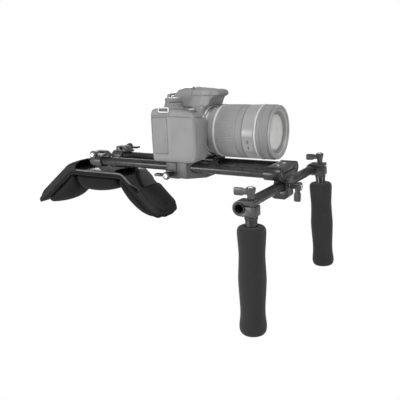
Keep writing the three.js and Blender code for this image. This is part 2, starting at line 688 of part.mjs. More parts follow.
// The sliding front tube, whose rim passes over the focus ring's front edge.
const zoomTubeProfile = [
  [31, 62], [34, 62], [34, 136.3], [40, 136.3], [outer - 0.6, 137.2], [outer - 0.8, LENS.front],
  [35.5, LENS.front], [31, 136.9],
];
const accentProfile = [
  [34.3, FIXED_FRONT + GAP], [outer + 0.3, FIXED_FRONT + GAP], [outer + 0.3, 117.6], [34.3, 117.6],
];
const focusProfile = [[34.3, 117.9], [outer, 117.9], [outer, 135.2], [outer - 0.8, 136], [34.3, 136]];
const frontGlassProfile = [[0, 125.4], [30.6, 127.4], [30.6, 132.4], [20, 135.2], [0, 136.4]];
const rearGlassProfile = [[0, 33], [18, 34.5], [26.6, 34.5], [26.6, 40], [0, 42]];
add("lens_mount", lensTurned(mountProfile), "trim");
add("lens_barrel", lensTurned(barrelProfile), "lens");
add("zoom_ring", lensTurned(zoomRingProfile), "lens");
add("zoom_tube", lensTurned(zoomTubeProfile), "lens");
add("accent_ring", lensTurned(accentProfile), "trim");
add("focus_ring", lensTurned(focusProfile), "lens");
add("front_glass", lensTurned(frontGlassProfile, 32), "glass");
add("rear_glass", lensTurned(rearGlassProfile, 28), "glass");

// ---- front bracket and cross rod ----

function frontBracket() {
  const { rear, front, top, bottom, legHalfWidth, legBottom } = BRACKET;
  const rings = SIDES.map(({ sign }) => {
    return bar(CLAMP_RING, rear, front, "x", 0, (sign * ROD.spacing) / 2, ROD.z);
  });
  const web = box(rear, -30, bottom, front, 30, top);
  const legOutline = [
    [front + 2, bottom + 3], [137, bottom + 3], [134.5, -2], [132.5, -10], [rear + 1, -17], [rear + 2, -22],
    [136, legBottom], [front - 2, legBottom], [front + 2, legBottom + 4],
  ];
  const leg = prism(legOutline, "y", -legHalfWidth, legHalfWidth);
  const crossHole = bar(CLAMP_BORE, -legHalfWidth - 1, legHalfWidth + 1, "y", CROSS_ROD.x, 0, CROSS_ROD.z);
  const slit = box(rear - 1, -24, ROD.z - 0.6, front + 1, 24, ROD.z + 0.6);
  const screwHole = bar(LEVER.screw + GAP, CROSS_ROD.x, front + 5, "x", 0, 0, CROSS_ROD.z, 12);
  return cut(join(web, ...rings, leg), ...rodHoles(rear - 1, front + 1), crossHole, slit, screwHole);
}
add("front_bracket", frontBracket(), "bracket");
addLever("bracket", () => standing([1, 0, 0], [0, 0, -1], BRACKET.front + 3.4, 0, CROSS_ROD.z), 4);
add(
  "cross_rod",
  tube(ROD.bore, ROD.radius, -CROSS_ROD.halfLength, CROSS_ROD.halfLength, "y", CROSS_ROD.x, 0, CROSS_ROD.z),
  "anodised",
);

// ---- handles ----

function handleClamp(y) {
  const { x, halfWidth, top, bottom, front } = HANDLE;
  const ring = bar(CLAMP_RING + 0.4, y - halfWidth, y + halfWidth, "y", CROSS_ROD.x, 0, CROSS_ROD.z, 32);
  const block = prism(roundedRect(CROSS_ROD.x, bottom, front, top, 1.5), "y", y - halfWidth, y + halfWidth);
  const rodHole = bar(CLAMP_BORE, y - halfWidth - 1, y + halfWidth + 1, "y", CROSS_ROD.x, 0, CROSS_ROD.z);
  const slit = box(CROSS_ROD.x + 6, y - halfWidth - 1, -2.4, front + 1, y + halfWidth + 1, -1);
  const screwHole = bar(LEVER.screw + GAP, -10, top + 1, "z", x, y, 0, 12);
  return cut(join(ring, block), rodHole, slit, screwHole);
}

// Turns a piece of one handle about the cross rod, to the lean that the handle is set at.
function leaning(name, geometry) {
  const angle = THREE.MathUtils.degToRad(-HANDLE.tilt[name]);
  const { x, z } = CROSS_ROD;
  return geometry.clone().translate(-x, 0, -z).rotateY(angle).translate(x, 0, z);
}

for (const { name, sign } of SIDES) {
  const y = sign * HANDLE.y;
  const foot = standing([0, 0, 1], [-1, 0, 0], HANDLE.x, y, HANDLE.top + 0.8);
  const bore = HANDLE.barRadius + GAP;
  const waves = [
    [bore, FOAM.top], [14, FOAM.top], [17.8, FOAM.top - 2.5], [19.1, FOAM.top - 8],
    [18.4, FOAM.top - 22], [17.5, FOAM.top - 38], [18.1, FOAM.top - 56], [18.9, FOAM.top - 74],
    [18.1, FOAM.top - 94], [16.9, FOAM.top - 114], [17.2, FOAM.top - 126], [18.6, FOAM.top - 138],
    [17.8, FOAM.bottom + 5], [13, FOAM.bottom + 0.6], [0, FOAM.bottom],
    [0, FOAM.bottom + 13.6], [bore, FOAM.bottom + 13.6],
  ];
  const shank = bar(HANDLE.barRadius, FOAM.bottom + 14, HANDLE.bottom - GAP, "z", HANDLE.x, y);
  add("handle_clamp_" + name, leaning(name, handleClamp(y)), "bracket");
  add("handle_" + name + "_lever", leaning(name, leverHub().applyMatrix4(foot)), "lever");
  add("handle_" + name + "_screw", leaning(name, leverScrew(10).applyMatrix4(foot)), "steel");
  add("handle_bar_" + name, leaning(name, shank), "anodised");
  add("foam_grip_" + name, leaning(name, turned(rotatedToAxis(waves), "z", HANDLE.x, y, 0, 24)), "foam");
}

// A lathe profile that starts and ends on the axis, from one that touches it in the middle of its list.
function rotatedToAxis(profile) {
  const first = profile.findIndex(([r], i) => r === 0 && profile[i + 1][0] === 0) + 1;
  return [...profile.slice(first), ...profile.slice(0, first)];
}

export default rig;
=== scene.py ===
import json
import math

import bmesh
import bpy
from mathutils import Matrix, Vector, noise


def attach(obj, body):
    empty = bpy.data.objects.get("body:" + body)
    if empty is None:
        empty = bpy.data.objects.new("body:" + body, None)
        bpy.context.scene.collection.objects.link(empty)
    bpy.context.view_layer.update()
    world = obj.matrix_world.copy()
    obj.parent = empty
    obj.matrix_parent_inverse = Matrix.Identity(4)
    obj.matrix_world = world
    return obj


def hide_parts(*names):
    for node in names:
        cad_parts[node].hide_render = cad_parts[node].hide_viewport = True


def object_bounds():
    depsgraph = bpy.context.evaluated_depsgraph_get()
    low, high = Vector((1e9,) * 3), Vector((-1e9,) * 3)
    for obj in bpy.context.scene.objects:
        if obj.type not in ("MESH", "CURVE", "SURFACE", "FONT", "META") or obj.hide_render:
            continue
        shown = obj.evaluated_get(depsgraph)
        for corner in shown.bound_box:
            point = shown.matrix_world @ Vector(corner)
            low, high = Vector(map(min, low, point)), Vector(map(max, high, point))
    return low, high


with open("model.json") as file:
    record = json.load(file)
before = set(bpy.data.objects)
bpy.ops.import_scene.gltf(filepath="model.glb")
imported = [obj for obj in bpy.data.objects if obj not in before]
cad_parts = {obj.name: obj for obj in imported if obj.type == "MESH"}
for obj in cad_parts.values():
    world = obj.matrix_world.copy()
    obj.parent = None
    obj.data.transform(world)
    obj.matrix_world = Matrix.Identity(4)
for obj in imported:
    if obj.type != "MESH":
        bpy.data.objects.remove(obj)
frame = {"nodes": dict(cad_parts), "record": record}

cad_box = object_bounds()
MM = 0.001
scene = bpy.context.scene
body_of = {n: body for body, members in frame["record"]["behaviour"]["bodies"].items() for n in members}


# ---------------------------------------------------------------- camera
# Viewing direction of the picture: yaw from +X towards +Y, then pitch and roll.
VIEW_DEGREES = (121.35, -14.34, -1.98)
VIEW_FROM = (0.42335, -0.7007, 0.16536)
FOCAL_LENGTH = 45.14


def place_camera():
    yaw, pitch, roll = (math.radians(a) for a in VIEW_DEGREES)
    forward = Vector((math.cos(pitch) * math.cos(yaw), math.cos(pitch) * math.sin(yaw), math.sin(pitch)))
    right = forward.cross(Vector((0, 0, 1))).normalized()
    up = right.cross(forward)
    level_right = right * math.cos(roll) + up * math.sin(roll)
    level_up = up * math.cos(roll) - right * math.sin(roll)
    data = bpy.data.cameras.new("camera")
    data.sensor_width = 36
    data.lens = FOCAL_LENGTH
    data.clip_start = 0.02
    camera = bpy.data.objects.new("camera", data)
    matrix = Matrix((level_right, level_up, -forward)).transposed().to_4x4()
    matrix.translation = Vector(VIEW_FROM)
    camera.matrix_world = matrix
    scene.collection.objects.link(camera)
    scene.camera = camera


place_camera()


# ---------------------------------------------------------------- materials
class Shader:
    """A node material. Textures read object coordinates, so they stay on a piece as it moves."""

    def __init__(self, name, color, roughness, metallic=0.0, **sockets):
        self.material = bpy.data.materials.new(name)
        self.material.use_nodes = True
        self.material.diffuse_color = (*color, 1)
        self.nodes = self.material.node_tree.nodes
        self.links = self.material.node_tree.links
        self.bsdf = self.nodes["Principled BSDF"]
        self.bsdf.inputs["Base Color"].default_value = (*color, 1)
        self.bsdf.inputs["Roughness"].default_value = roughness
        self.bsdf.inputs["Metallic"].default_value = metallic
        for key, value in sockets.items():
            self.bsdf.inputs[key.replace("_", " ")].default_value = value
        self.coords = self.nodes.new("ShaderNodeTexCoord").outputs["Object"]
        self.height = None

    def node(self, kind, inputs=(), **settings):
        made = self.nodes.new("ShaderNode" + kind)
        for key, value in settings.items():
            setattr(made, key, value)
        for key, value in dict(inputs).items():
            if isinstance(value, bpy.types.NodeSocket):
                self.links.new(value, made.inputs[key])
            else:
                made.inputs[key].default_value = value
        return made

    def stretched(self, scale, turn=(0, 0, 0)):
        return self.node("Mapping", {"Vector": self.coords, "Scale": scale, "Rotation": turn}).outputs[0]

    def noise(self, scale, detail=4.0, roughness=0.5, stretch=None):
        vector = self.stretched(stretch) if stretch else self.coords
        made = self.node(
            "TexNoise", {"Vector": vector, "Scale": scale, "Detail": detail, "Roughness": roughness}
        )
        return made.outputs["Fac"]

    def cells(self, scale, feature="F1", stretch=None):
        vector = self.stretched(stretch) if stretch else self.coords
        made = self.node("TexVoronoi", {"Vector": vector, "Scale": scale}, feature=feature)
        return made.outputs["Distance"]

    def bands(self, scale, axis, turn=(0, 0, 0)):
        made = self.node(
            "TexWave", {"Vector": self.stretched((1, 1, 1), turn), "Scale": scale},
            wave_type="BANDS", bands_direction=axis, wave_profile="SIN",
        )
        return made.outputs["Fac"]

    def math(self, operation, a, b=0.0):
        return self.node("Math", {0: a, 1: b}, operation=operation).outputs[0]

    def weighed(self, a, share_a, b, share_b):
        """The sum of two values, each times its share."""
        return self.math("ADD", self.math("MULTIPLY", a, share_a), self.math("MULTIPLY", b, share_b))

    def remap(self, value, low, high, to_low=0.0, to_high=1.0):
        made = self.node(
            "MapRange", {
                "Value": value, "From Min": low, "From Max": high, "To Min": to_low, "To Max": to_high
            },
            clamp=True,
        )
        return made.outputs["Result"]

    def tint(self, dark, light, factor):
        made = self.node("Mix", {"Factor": factor}, data_type="RGBA")
        for key, value in (("A", dark), ("B", light)):
            for s in made.inputs:
                if s.type == "RGBA" and s.name == key:
                    if isinstance(value, bpy.types.NodeSocket):
                        self.links.new(value, s)
                    else:
                        s.default_value = (*value, 1)
        out = [s for s in made.outputs if s.type == "RGBA"][0]
        self.links.new(out, self.bsdf.inputs["Base Color"])
        return out

    def rough(self, value, low, high):
        self.links.new(self.remap(value, 0.25, 0.75, low, high), self.bsdf.inputs["Roughness"])

    def bump(self, height, distance, strength=1.0):
        inputs = {"Height": height, "Distance": distance, "Strength": strength}
        if self.height is not None:
            inputs["Normal"] = self.height
        self.height = self.node("Bump", inputs).outputs["Normal"]
        self.links.new(self.height, self.bsdf.inputs["Normal"])


def anodised(name, low, high, roughness, metallic=0.75):
    """Black or grey anodised aluminium: drawn grain along X, blotchy sheen and fine pits."""
    s = Shader(name, high, roughness, metallic)
    blotch = s.noise(38, 5, 0.6)
    grain = s.noise(420, 3, 0.6, stretch=(0.12, 1, 1))
    s.tint(low, high, s.remap(s.weighed(blotch, 0.6, grain, 0.4), 0.35, 0.65))
    s.rough(s.weighed(grain, 0.6, blotch, 0.4), roughness - 0.07, roughness + 0.09)
    s.bump(grain, 0.00004, 0.5)
    return s.material


def painted(name, low, high, roughness, metallic=0.25):
    """Satin powder paint: fine orange peel, small specks and rubbed patches."""
    s = Shader(name, high, roughness, metallic)
    patch = s.noise(26, 5, 0.55)
    speck = s.cells(1900)
    peel = s.noise(950, 2, 0.5)
    s.tint(low, high, s.remap(s.weighed(patch, 0.75, speck, 0.35), 0.3, 0.72))
    s.rough(patch, roughness - 0.06, roughness + 0.08)
    s.bump(peel, 0.00008, 0.45)
    return s.material


def steel(name):
    s = Shader(name, (0.72, 0.72, 0.73), 0.24, 1.0)
    scratch = s.noise(700, 4, 0.7, stretch=(1, 1, 0.1))
    s.tint((0.55, 0.55, 0.56), (0.86, 0.86, 0.87), s.remap(scratch, 0.35, 0.65))
    s.rough(scratch, 0.16, 0.34)
    s.bump(scratch, 0.00002, 0.5)
    return s.material


def moulded(name, low, high, roughness, grain=900, depth=0.00006, **sockets):
    """Moulded plastic with a fine spark-eroded grain."""
    s = Shader(name, high, roughness, 0.0, **sockets)
    fine = s.noise(grain, 3, 0.6)
    cloud = s.noise(22, 4, 0.5)
    s.tint(low, high, s.remap(s.weighed(cloud, 0.8, fine, 0.25), 0.3, 0.75))
    s.rough(fine, roughness - 0.05, roughness + 0.07)
    s.bump(fine, depth, 0.5)
    return s.material


def leatherette(name, low, high):
    """Grip covering: small pebbled cells with narrow valleys."""
    s = Shader(name, high, 0.62, 0.0)
    pebble = s.cells(1150, "SMOOTH_F1")
    cloud = s.noise(30, 4, 0.5)
    s.tint(
        low, high,
        s.remap(s.math("SUBTRACT", s.math("ADD", cloud, 0.2), s.math("MULTIPLY", pebble, 0.5)), 0.1, 0.7)
    )
    s.rough(cloud, 0.55, 0.72)
    s.bump(s.math("SUBTRACT", 1.0, pebble), 0.00012, 0.4)
    return s.material


def woven(name, low, high, pitch=0.0011, depth=0.00028, roughness=0.86):
    """Plain weave: two crossed sets of yarns, fibre noise and faint fading."""
    s = Shader(name, high, roughness, 0.0, Sheen_Weight=0.06, Sheen_Roughness=0.45, Specular_IOR_Level=0.25)
    scale = 1 / (pitch * 20) * math.pi
    warp = s.bands(scale, "X", turn=(0, 0.65, 0))
    weft = s.bands(scale, "Y")
    yarn = s.math(
        "MAXIMUM", s.math("MULTIPLY", warp, s.math("SUBTRACT", 1.15, weft)),
        s.math("MULTIPLY", weft, 0.8)
    )
    fibre = s.noise(2600, 3, 0.7)
    fade = s.noise(17, 5, 0.6)
    worn = s.math("ADD", s.weighed(yarn, 0.35, fibre, 0.25), s.math("MULTIPLY", fade, 0.5))
    s.tint(low, high, s.remap(worn, 0.3, 0.8))
    s.rough(fibre, roughness - 0.08, roughness + 0.06)
    s.bump(yarn, depth, 0.55)
    s.bump(s.noise(140, 3, 0.6), 0.0005, 0.25)
    return s.material


def webbing(name, low, high):
    """Narrow woven tape with ribs along it and a fuzzy face."""
    s = Shader(name, high, 0.8, 0.0, Sheen_Weight=0.05, Sheen_Roughness=0.5, Specular_IOR_Level=0.25)
    rib = s.bands(95, "X")
    fibre = s.noise(2300, 3, 0.7)
    s.tint(low, high, s.remap(s.weighed(rib, 0.5, fibre, 0.5), 0.2, 0.8))
    s.rough(fibre, 0.72, 0.88)
    s.bump(rib, 0.0003, 0.6)
    return s.material


def foam(name, low, high):
    """Closed-cell foam: open pores of two sizes and a soft bloom."""
    s = Shader(name, high, 0.93, 0.0, Sheen_Weight=0.12, Sheen_Roughness=0.5)
    pores = s.cells(1500)
    small = s.noise(3200, 2, 0.6)
    cloud = s.noise(45, 5, 0.6)
    s.tint(low, high, s.remap(s.weighed(pores, 0.55, cloud, 0.55), 0.25, 0.75))
    s.rough(small, 0.86, 0.98)
    s.bump(s.math("ADD", pores, s.math("MULTIPLY", small, 0.5)), 0.00035, 0.5)
    return s.material


def glass(name, color, transmission, roughness=0.03):
    s = Shader(
        name, color, roughness, 0.0, Transmission_Weight=transmission, IOR=1.5, Coat_Weight=0.6,
        Coat_Roughness=0.02
    )
    dust = s.noise(90, 5, 0.7)
    s.tint(tuple(c * 0.9 for c in color), color, s.remap(dust, 0.4, 0.6))
    s.rough(dust, roughness, roughness + 0.05)
    return s.material


def grey(v):
    return (v, v, v * 1.01)


M = {
    "rod": anodised("rod_black", (0.028, 0.028, 0.029), (0.06, 0.06, 0.062), 0.25, 0.45),
    "shank": anodised("shank_black", (0.05, 0.05, 0.052), (0.1, 0.1, 0.103), 0.2, 0.9),
    "part": painted("satin_dark", (0.05, 0.05, 0.052), (0.085, 0.085, 0.088), 0.32, 0.35),
    "base": painted("satin_mid", (0.08, 0.08, 0.082), (0.12, 0.12, 0.123), 0.42, 0.3),
    "plate_edge": anodised("bare_edge", (0.08, 0.08, 0.082), (0.17, 0.17, 0.173), 0.38, 0.8),
    "plate_top": moulded(
        "plate_black", (0.008, 0.008, 0.009), (0.018, 0.018, 0.019), 0.2, 500, 0.00004, Coat_Weight=0.5,
        Coat_Roughness=0.12
    ),
    "steel": steel("turned_steel"),
    "lever": moulded(
        "lever_black", (0.025, 0.025, 0.026), (0.055, 0.055, 0.057), 0.22, 700, 0.00004,
        Coat_Weight=0.6, Coat_Roughness=0.12
    ),
    "pad": woven("pad_weave", (0.004, 0.004, 0.0043), (0.011, 0.011, 0.0115)),
    "pocket": woven("pocket_weave", (0.015, 0.015, 0.0155), (0.03, 0.03, 0.031), 0.0009),
    "piping": webbing("piping_tape", (0.006, 0.006, 0.007), (0.022, 0.022, 0.024)),
    "thread": moulded("thread", (0.03, 0.03, 0.03), (0.07, 0.07, 0.07), 0.7, 1800, 0.0001),
    "foam": foam("grip_foam", (0.008, 0.008, 0.0084), (0.019, 0.019, 0.0197)),
    "shell": moulded("camera_shell", grey(0.19), grey(0.265), 0.5, 1100, 0.00009),
    "skin": leatherette("camera_grip_skin", grey(0.21), grey(0.28)),
    "shell_light": moulded("camera_trim", grey(0.7), grey(0.9), 0.35, 900, 0.00005),
    "shell_dark": moulded("camera_dark", grey(0.1), grey(0.17), 0.45, 900, 0.00006),
    "lens": moulded(
        "lens_shell", grey(0.26), grey(0.36), 0.34, 1000, 0.00006, Coat_Weight=0.3, Coat_Roughness=0.25
    ),
    "lens_rubber": moulded("lens_rubber", grey(0.2), grey(0.29), 0.6, 1200, 0.0001),
    "lens_bright": moulded(
        "lens_bright_ring", grey(0.55), grey(0.72), 0.35, 900, 0.00004, Coat_Weight=0.3,
        Coat_Roughness=0.2
    ),
    # Lens glass: a pale grey-white base with only a quarter of the light transmitted, a painted reflection of the
    # bright surroundings.
    "glass": glass("lens_glass", (0.86, 0.87, 0.83), 0.25),
    "screen": moulded(
        "screen_glass", grey(0.035), grey(0.06), 0.42, 300, 0.00002, Coat_Weight=0.15,
        Coat_Roughness=0.3
    ),
    # Near black, darker than any plastic: painted shade standing in for the inside of holes, slots and recesses.
    "socket": moulded("hole_shade_black", grey(0.004), grey(0.01), 0.6, 900, 0.00005),
}


# ---------------------------------------------------------------- mesh helpers
# Outlines and profiles are in millimetres; meshes are in metres.
ROD_Z = 17
ROD_HALF_SPACING = 30
ROD_RADIUS, ROD_BORE = 7.5, 6.0
CROSS_X, CROSS_Z = 145, -5.4
HANDLE_X, HANDLE_Y = 157.6, 140
LEAN_DEGREES = {"right": -0.6, "left": -3.4}
SIDES = {"right": -1, "left": 1}
AXES = {
    "x": Matrix(((0, 0, 1), (1, 0, 0), (0, 1, 0))),
    "y": Matrix(((1, 0, 0), (0, 0, 1), (0, 1, 0))),
    "z": Matrix(((1, 0, 0), (0, 1, 0), (0, 0, 1))),
}


def placed(axis, x=0.0, y=0.0, z=0.0):
    """The matrix that takes (u, v, w) to the row frame, with w along the axis."""
    m = AXES[axis].to_4x4()
    m.translation = Vector((x, y, z)) * MM
    return m


def leaning(side):
    """The lean of one handle about the cross rod."""
    angle = math.radians(LEAN_DEGREES[side])
    pivot = Vector((CROSS_X, 0, CROSS_Z)) * MM
    return Matrix.Translation(pivot) @ Matrix.Rotation(angle, 4, "Y") @ Matrix.Translation(-pivot)


def mesh_from(verts, faces, matrix=None, scale=MM):
    mesh = bpy.data.meshes.new("m")
    mesh.from_pydata([Vector(v) * scale for v in verts], [], faces)
    if matrix is not None:
        mesh.transform(matrix)
    bm = bmesh.new()
    bm.from_mesh(mesh)
    bmesh.ops.recalc_face_normals(bm, faces=bm.faces)
    bm.to_mesh(mesh)
    bm.free()
    return mesh


def filleted(points, radius, steps=3, closed=False):
    """A polyline whose corners are rounded by `radius`, or by less where an edge is short."""
    pts = [Vector(p) for p in points]
    n = len(pts)
    out = []
    for i, p in enumerate(pts):
        if not closed and i in (0, n - 1):
            out.append(tuple(p))
            continue
        a, b = pts[i - 1], pts[(i + 1) % n]
        da, db = a - p, b - p
        r = min(radius, 0.45 * da.length, 0.45 * db.length)
        if r < 1e-4 or da.angle(-db, 0.0) < 0.05:
            out.append(tuple(p))
            continue
        s, e = p + da.normalized() * r, p + db.normalized() * r
        for k in range(steps + 1):
            t = k / steps
            out.append(tuple(s * (1 - t) ** 2 + p * 2 * t * (1 - t) + e * t * t))
    return out


def lathe(profile, matrix, sides=72, radius=0.5, ripple=None):
    """A turned mesh round w. `profile` lists (radius, height); it closes on the axis or on itself."""
    loop = profile[0][0] > 0
    rim = filleted(profile, radius, 3, closed=loop)
    verts, rings = [], []
    for r, h in rim:
        if r < 1e-6:
            rings.append([len(verts)])
            verts.append((0, 0, h))
            continue
        start = len(verts)
        for i in range(sides):
            a = 2 * math.pi * i / sides
            q = r + (ripple(r, h, a) if ripple else 0)
            verts.append((q * math.cos(a), q * math.sin(a), h))
        rings.append(list(range(start, start + sides)))
    faces = []
    pairs = list(zip(rings, rings[1:])) + ([(rings[-1], rings[0])] if loop else [])
    for lower, upper in pairs:
        for i in range(sides):
            j = (i + 1) % sides
            if len(lower) == 1 and len(upper) == 1:
                continue
            if len(lower) == 1:
                faces.append((lower[0], upper[j], upper[i]))
            elif len(upper) == 1:
                faces.append((lower[i], lower[j], upper[0]))
            else:
                faces.append((lower[i], lower[j], upper[j], upper[i]))
    return mesh_from(verts, faces, matrix)


def slab(outline, low, high, matrix, soft=0.8, steps=3, corner=0.0):
    """A prism of an outline with its end edges rounded by `soft`."""
    pts = filleted(outline, corner, 4, closed=True) if corner else outline
    n = len(pts)
    verts = [(u, v, low) for u, v in pts] + [(u, v, high) for u, v in pts]
    faces = [tuple(range(n))[::-1], tuple(range(n, 2 * n))]
    faces += [(i, (i + 1) % n, n + (i + 1) % n, n + i) for i in range(n)]
    mesh = mesh_from(verts, faces)
    if soft:
        bm = bmesh.new()
        bm.from_mesh(mesh)
        ends = [
            e for e in bm.edges
            if e.calc_face_angle(0) > 0.6 and any(len(f.verts) == n for f in e.link_faces)
        ]
        bmesh.ops.bevel(
            bm, geom=ends, offset=soft * MM, segments=steps, profile=0.5, affect="EDGES",
            clamp_overlap=True
        )
        bm.to_mesh(mesh)
        bm.free()
    mesh.transform(matrix)
    if matrix.determinant() < 0:
        mesh.flip_normals()
    return mesh


def rect(u0, v0, u1, v1):
    return [(u0, v0), (u1, v0), (u1, v1), (u0, v1)]


def round_rect(u0, v0, u1, v1, radius, steps):
    return filleted(rect(u0, v0, u1, v1), radius, steps, closed=True)


def tube(points, radius, sides=8, closed=False, flat=1.0):
    """A tube of points in millimetres, with its section turned so that it doesn't twist."""
    pts = [Vector(p) for p in points]
    n = len(pts)
    verts, faces = [], []
    tangent = [pts[(i + 1) % n] - pts[i - 1] for i in range(n)]
    if not closed:
        tangent[0], tangent[-1] = pts[1] - pts[0], pts[-1] - pts[-2]
    normal = tangent[0].orthogonal().normalized()
    for i in range(n):
        t = tangent[i].normalized()
        normal = (normal - t * normal.dot(t)).normalized()
        side = t.cross(normal)
        for k in range(sides):
            a = 2 * math.pi * k / sides
            verts.append(pts[i] + normal * (radius * math.cos(a)) + side * (radius * flat * math.sin(a)))
    for i in range(n if closed else n - 1):
        for k in range(sides):
            a, b = i * sides, ((i + 1) % n) * sides
            faces.append((a + k, a + (k + 1) % sides, b + (k + 1) % sides, b + k))
    if not closed:
        faces += [tuple(range(sides))[::-1], tuple(range((n - 1) * sides, n * sides))]
    return mesh_from(verts, faces)


def joined(*meshes):
    bm = bmesh.new()
    for m in meshes:
        bm.from_mesh(m)
    made = bpy.data.meshes.new("m")
    bm.to_mesh(made)
    bm.free()
    return made


def baked(mesh, *modifiers):
    """The mesh after modifiers, each given as (type, settings)."""
    o = bpy.data.objects.new("tmp", mesh)
    scene.collection.objects.link(o)
    for i, (kind, settings) in enumerate(modifiers):
        m = o.modifiers.new(str(i), kind)
        for key, value in settings.items():
            setattr(m, key, value)
    bpy.context.view_layer.update()
    made = bpy.data.meshes.new_from_object(o.evaluated_get(bpy.context.evaluated_depsgraph_get()))
    bpy.data.objects.remove(o)
    return made


def moulded_union(meshes, voxel, smooth, repeats):
    """One skin over overlapping closed meshes, softened at its edges."""
    return baked(
        joined(*meshes),
        ("REMESH", {"mode": "VOXEL", "voxel_size": voxel * MM, "adaptivity": 0.0}),
        ("SMOOTH", {"factor": smooth, "iterations": repeats}),
    )


def piece(name, mesh, material, body, replaces=(), sharp=38):
    o = bpy.data.objects.new(name, mesh)
    scene.collection.objects.link(o)
    mesh.materials.clear()
    mesh.materials.append(M[material])
    mesh.polygons.foreach_set("use_smooth", [True] * len(mesh.polygons))
    mesh.set_sharp_from_angle(angle=math.radians(sharp))
    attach(o, body)
    if replaces:
        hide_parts(*replaces)
    return o


def pad_piece(name, mesh, material, replaces=(), sharp=80):
    return piece(name, mesh, material, "shoulder_support", replaces, sharp)


def shell_piece(name, mesh, material="shell_dark", replaces=(), sharp=50):
    return piece(name, mesh, material, "camera", replaces, sharp)


def refined(node, material, bevel=0.5, segments=2, angle=32):
    """A CAD node's shape with its flats merged and its edges broken."""
    bm = bmesh.new()
    bm.from_mesh(frame["nodes"][node].data)
    bmesh.ops.remove_doubles(bm, verts=bm.verts, dist=2e-6)
    bmesh.ops.dissolve_limit(bm, angle_limit=math.radians(0.6), verts=bm.verts, edges=bm.edges)
    edges = [e for e in bm.edges if e.is_manifold and e.calc_face_angle(0) > math.radians(angle)]
    bmesh.ops.bevel(
        bm, geom=edges, offset=bevel * MM, segments=segments, profile=0.5, affect="EDGES",
        clamp_overlap=False
    )
    mesh = bpy.data.meshes.new(node)
    bm.to_mesh(mesh)
    bm.free()
    return piece("look_" + node, mesh, material, body_of[node], [node], sharp=30)


# ---------------------------------------------------------------- rods
def rod(name, low, high, matrix, body, node):
    profile = [(ROD_BORE, low), (ROD_RADIUS, low), (ROD_RADIUS, high), (ROD_BORE, high)]
    piece(name, lathe(profile, matrix, 72, 0.5), "rod", body, [node], sharp=50)


for side, sign in SIDES.items():
    at = placed("x", 0, sign * ROD_HALF_SPACING, ROD_Z)
    rod("tube_" + side, -209, 155, at, "rods", "rod_" + side)
    plug = [
        (0, -211.5), (3.2, -211.5), (3.2, -211.8), (6.4, -211.6), (7.3, -210.6), (7.3, -209.3),
        (5.6, -209.3), (5.6, -200), (0, -200)
    ]
    piece(
        "end_plug_" + side, lathe(plug, at, 48, 0.4), "rod", "rods",
        ["rod_plug_" + side], sharp=50
    )
    sleeve = [(5.0, 120), (5.95, 120), (5.95, 153.6), (5.0, 153.6)]
    piece("thread_insert_" + side, lathe(sleeve, at, 48, 0.2), "steel", "rods")
rod("cross_tube", -150, 150, placed("y", CROSS_X, 0, CROSS_Z), "cross", "cross_rod")


# ---------------------------------------------------------------- lever screws
def fluted(count, depth):
    return lambda r, h, a: -depth * (0.5 + 0.5 * math.cos(count * a)) ** 3 * min(1.0, r / 6)


def lever(name, node, matrix, body):
    hub = lathe(
        [
            (2.9, 0), (4.3, 0), (4.5, 1.4), (4.9, 5.6), (6.3, 11.2), (6.6, 12.4), (6.6, 15.4),
            (5.9, 16), (2.9, 16)
        ],
        matrix, 72, 0.5, fluted(9, 0.55),
    )
    top = 15
    wing_outline = [
        (3, top - 9), (9, top - 8.6), (12, top - 10.4), (24, top - 10.4), (24, top), (12, top),
        (8, top - 1.6), (3, top - 1.6)
    ]
    turn = Matrix(((1, 0, 0, 0), (0, 0, -1, 0), (0, 1, 0, 0), (0, 0, 0, 1)))
    wing = slab(filleted(wing_outline, 2.6, 5, closed=True), -1.95, 1.95, matrix @ turn, 1.0, 4)
    piece("hub_" + name, hub, "lever", body, [node + "_lever"], sharp=45)
    piece("wing_" + name, wing, "lever", body, sharp=50)
    screw = lathe(
        [
            (0, -9), (2.1, -9), (2.55, -8.4), (2.55, 15.2), (3.9, 15.6), (4.0, 16.8), (3.4, 17.3),
            (1.7, 17.3), (1.6, 15.9), (0, 15.7)
        ],
        matrix, 36, 0.3,
    )
    piece("bolt_" + name, screw, "steel", body, [node + "_screw"], sharp=45)


def standing(axis, paddle, x, y, z):
    w, u = Vector(axis), Vector(paddle)
    m = Matrix((u, w.cross(u), w)).transposed().to_4x4()
    m.translation = Vector((x, y, z)) * MM
    return m


for side, sign in SIDES.items():
    face = sign * (ROD_HALF_SPACING + 6.5 + 1.2)
    lever(
        "shoulder_" + side, f"shoulder_{side}", standing((0, sign, 0), (1, 0, 0), -188, face, 31),
        f"shoulder_{side}_knob"
    )
    lean = leaning(side)
    foot = standing((0, 0, 1), (-1, 0, 0), HANDLE_X, sign * HANDLE_Y, 5.4)
    lever("handle_" + side, f"handle_{side}", lean @ foot, f"handle_{side}_knob")
lever("base", "base", standing((0, -1, 0), (-1, 0, 0), -33.5, -38.2, 5), "base_knob")
lever("bracket", "bracket", standing((1, 0, 0), (0, 0, -1), 158.4, 0, CROSS_Z), "bracket_knob")


# ---------------------------------------------------------------- clamps, base and bracket
def cap_screw(name, x, y, z, matrix, body, radius=2.6, height=1.6):
    """A socket-head screw seen from its head."""
    at = matrix @ Matrix.Translation(Vector((x, y, z)) * MM)
    profile = [
        (0, 0), (radius, 0), (radius, height - 0.3), (radius - 0.3, height), (1.4, height),
        (1.3, height - 0.9), (0, height - 0.9)
    ]
    piece(name, lathe(profile, at, 24, 0.15), "steel", body, sharp=45)


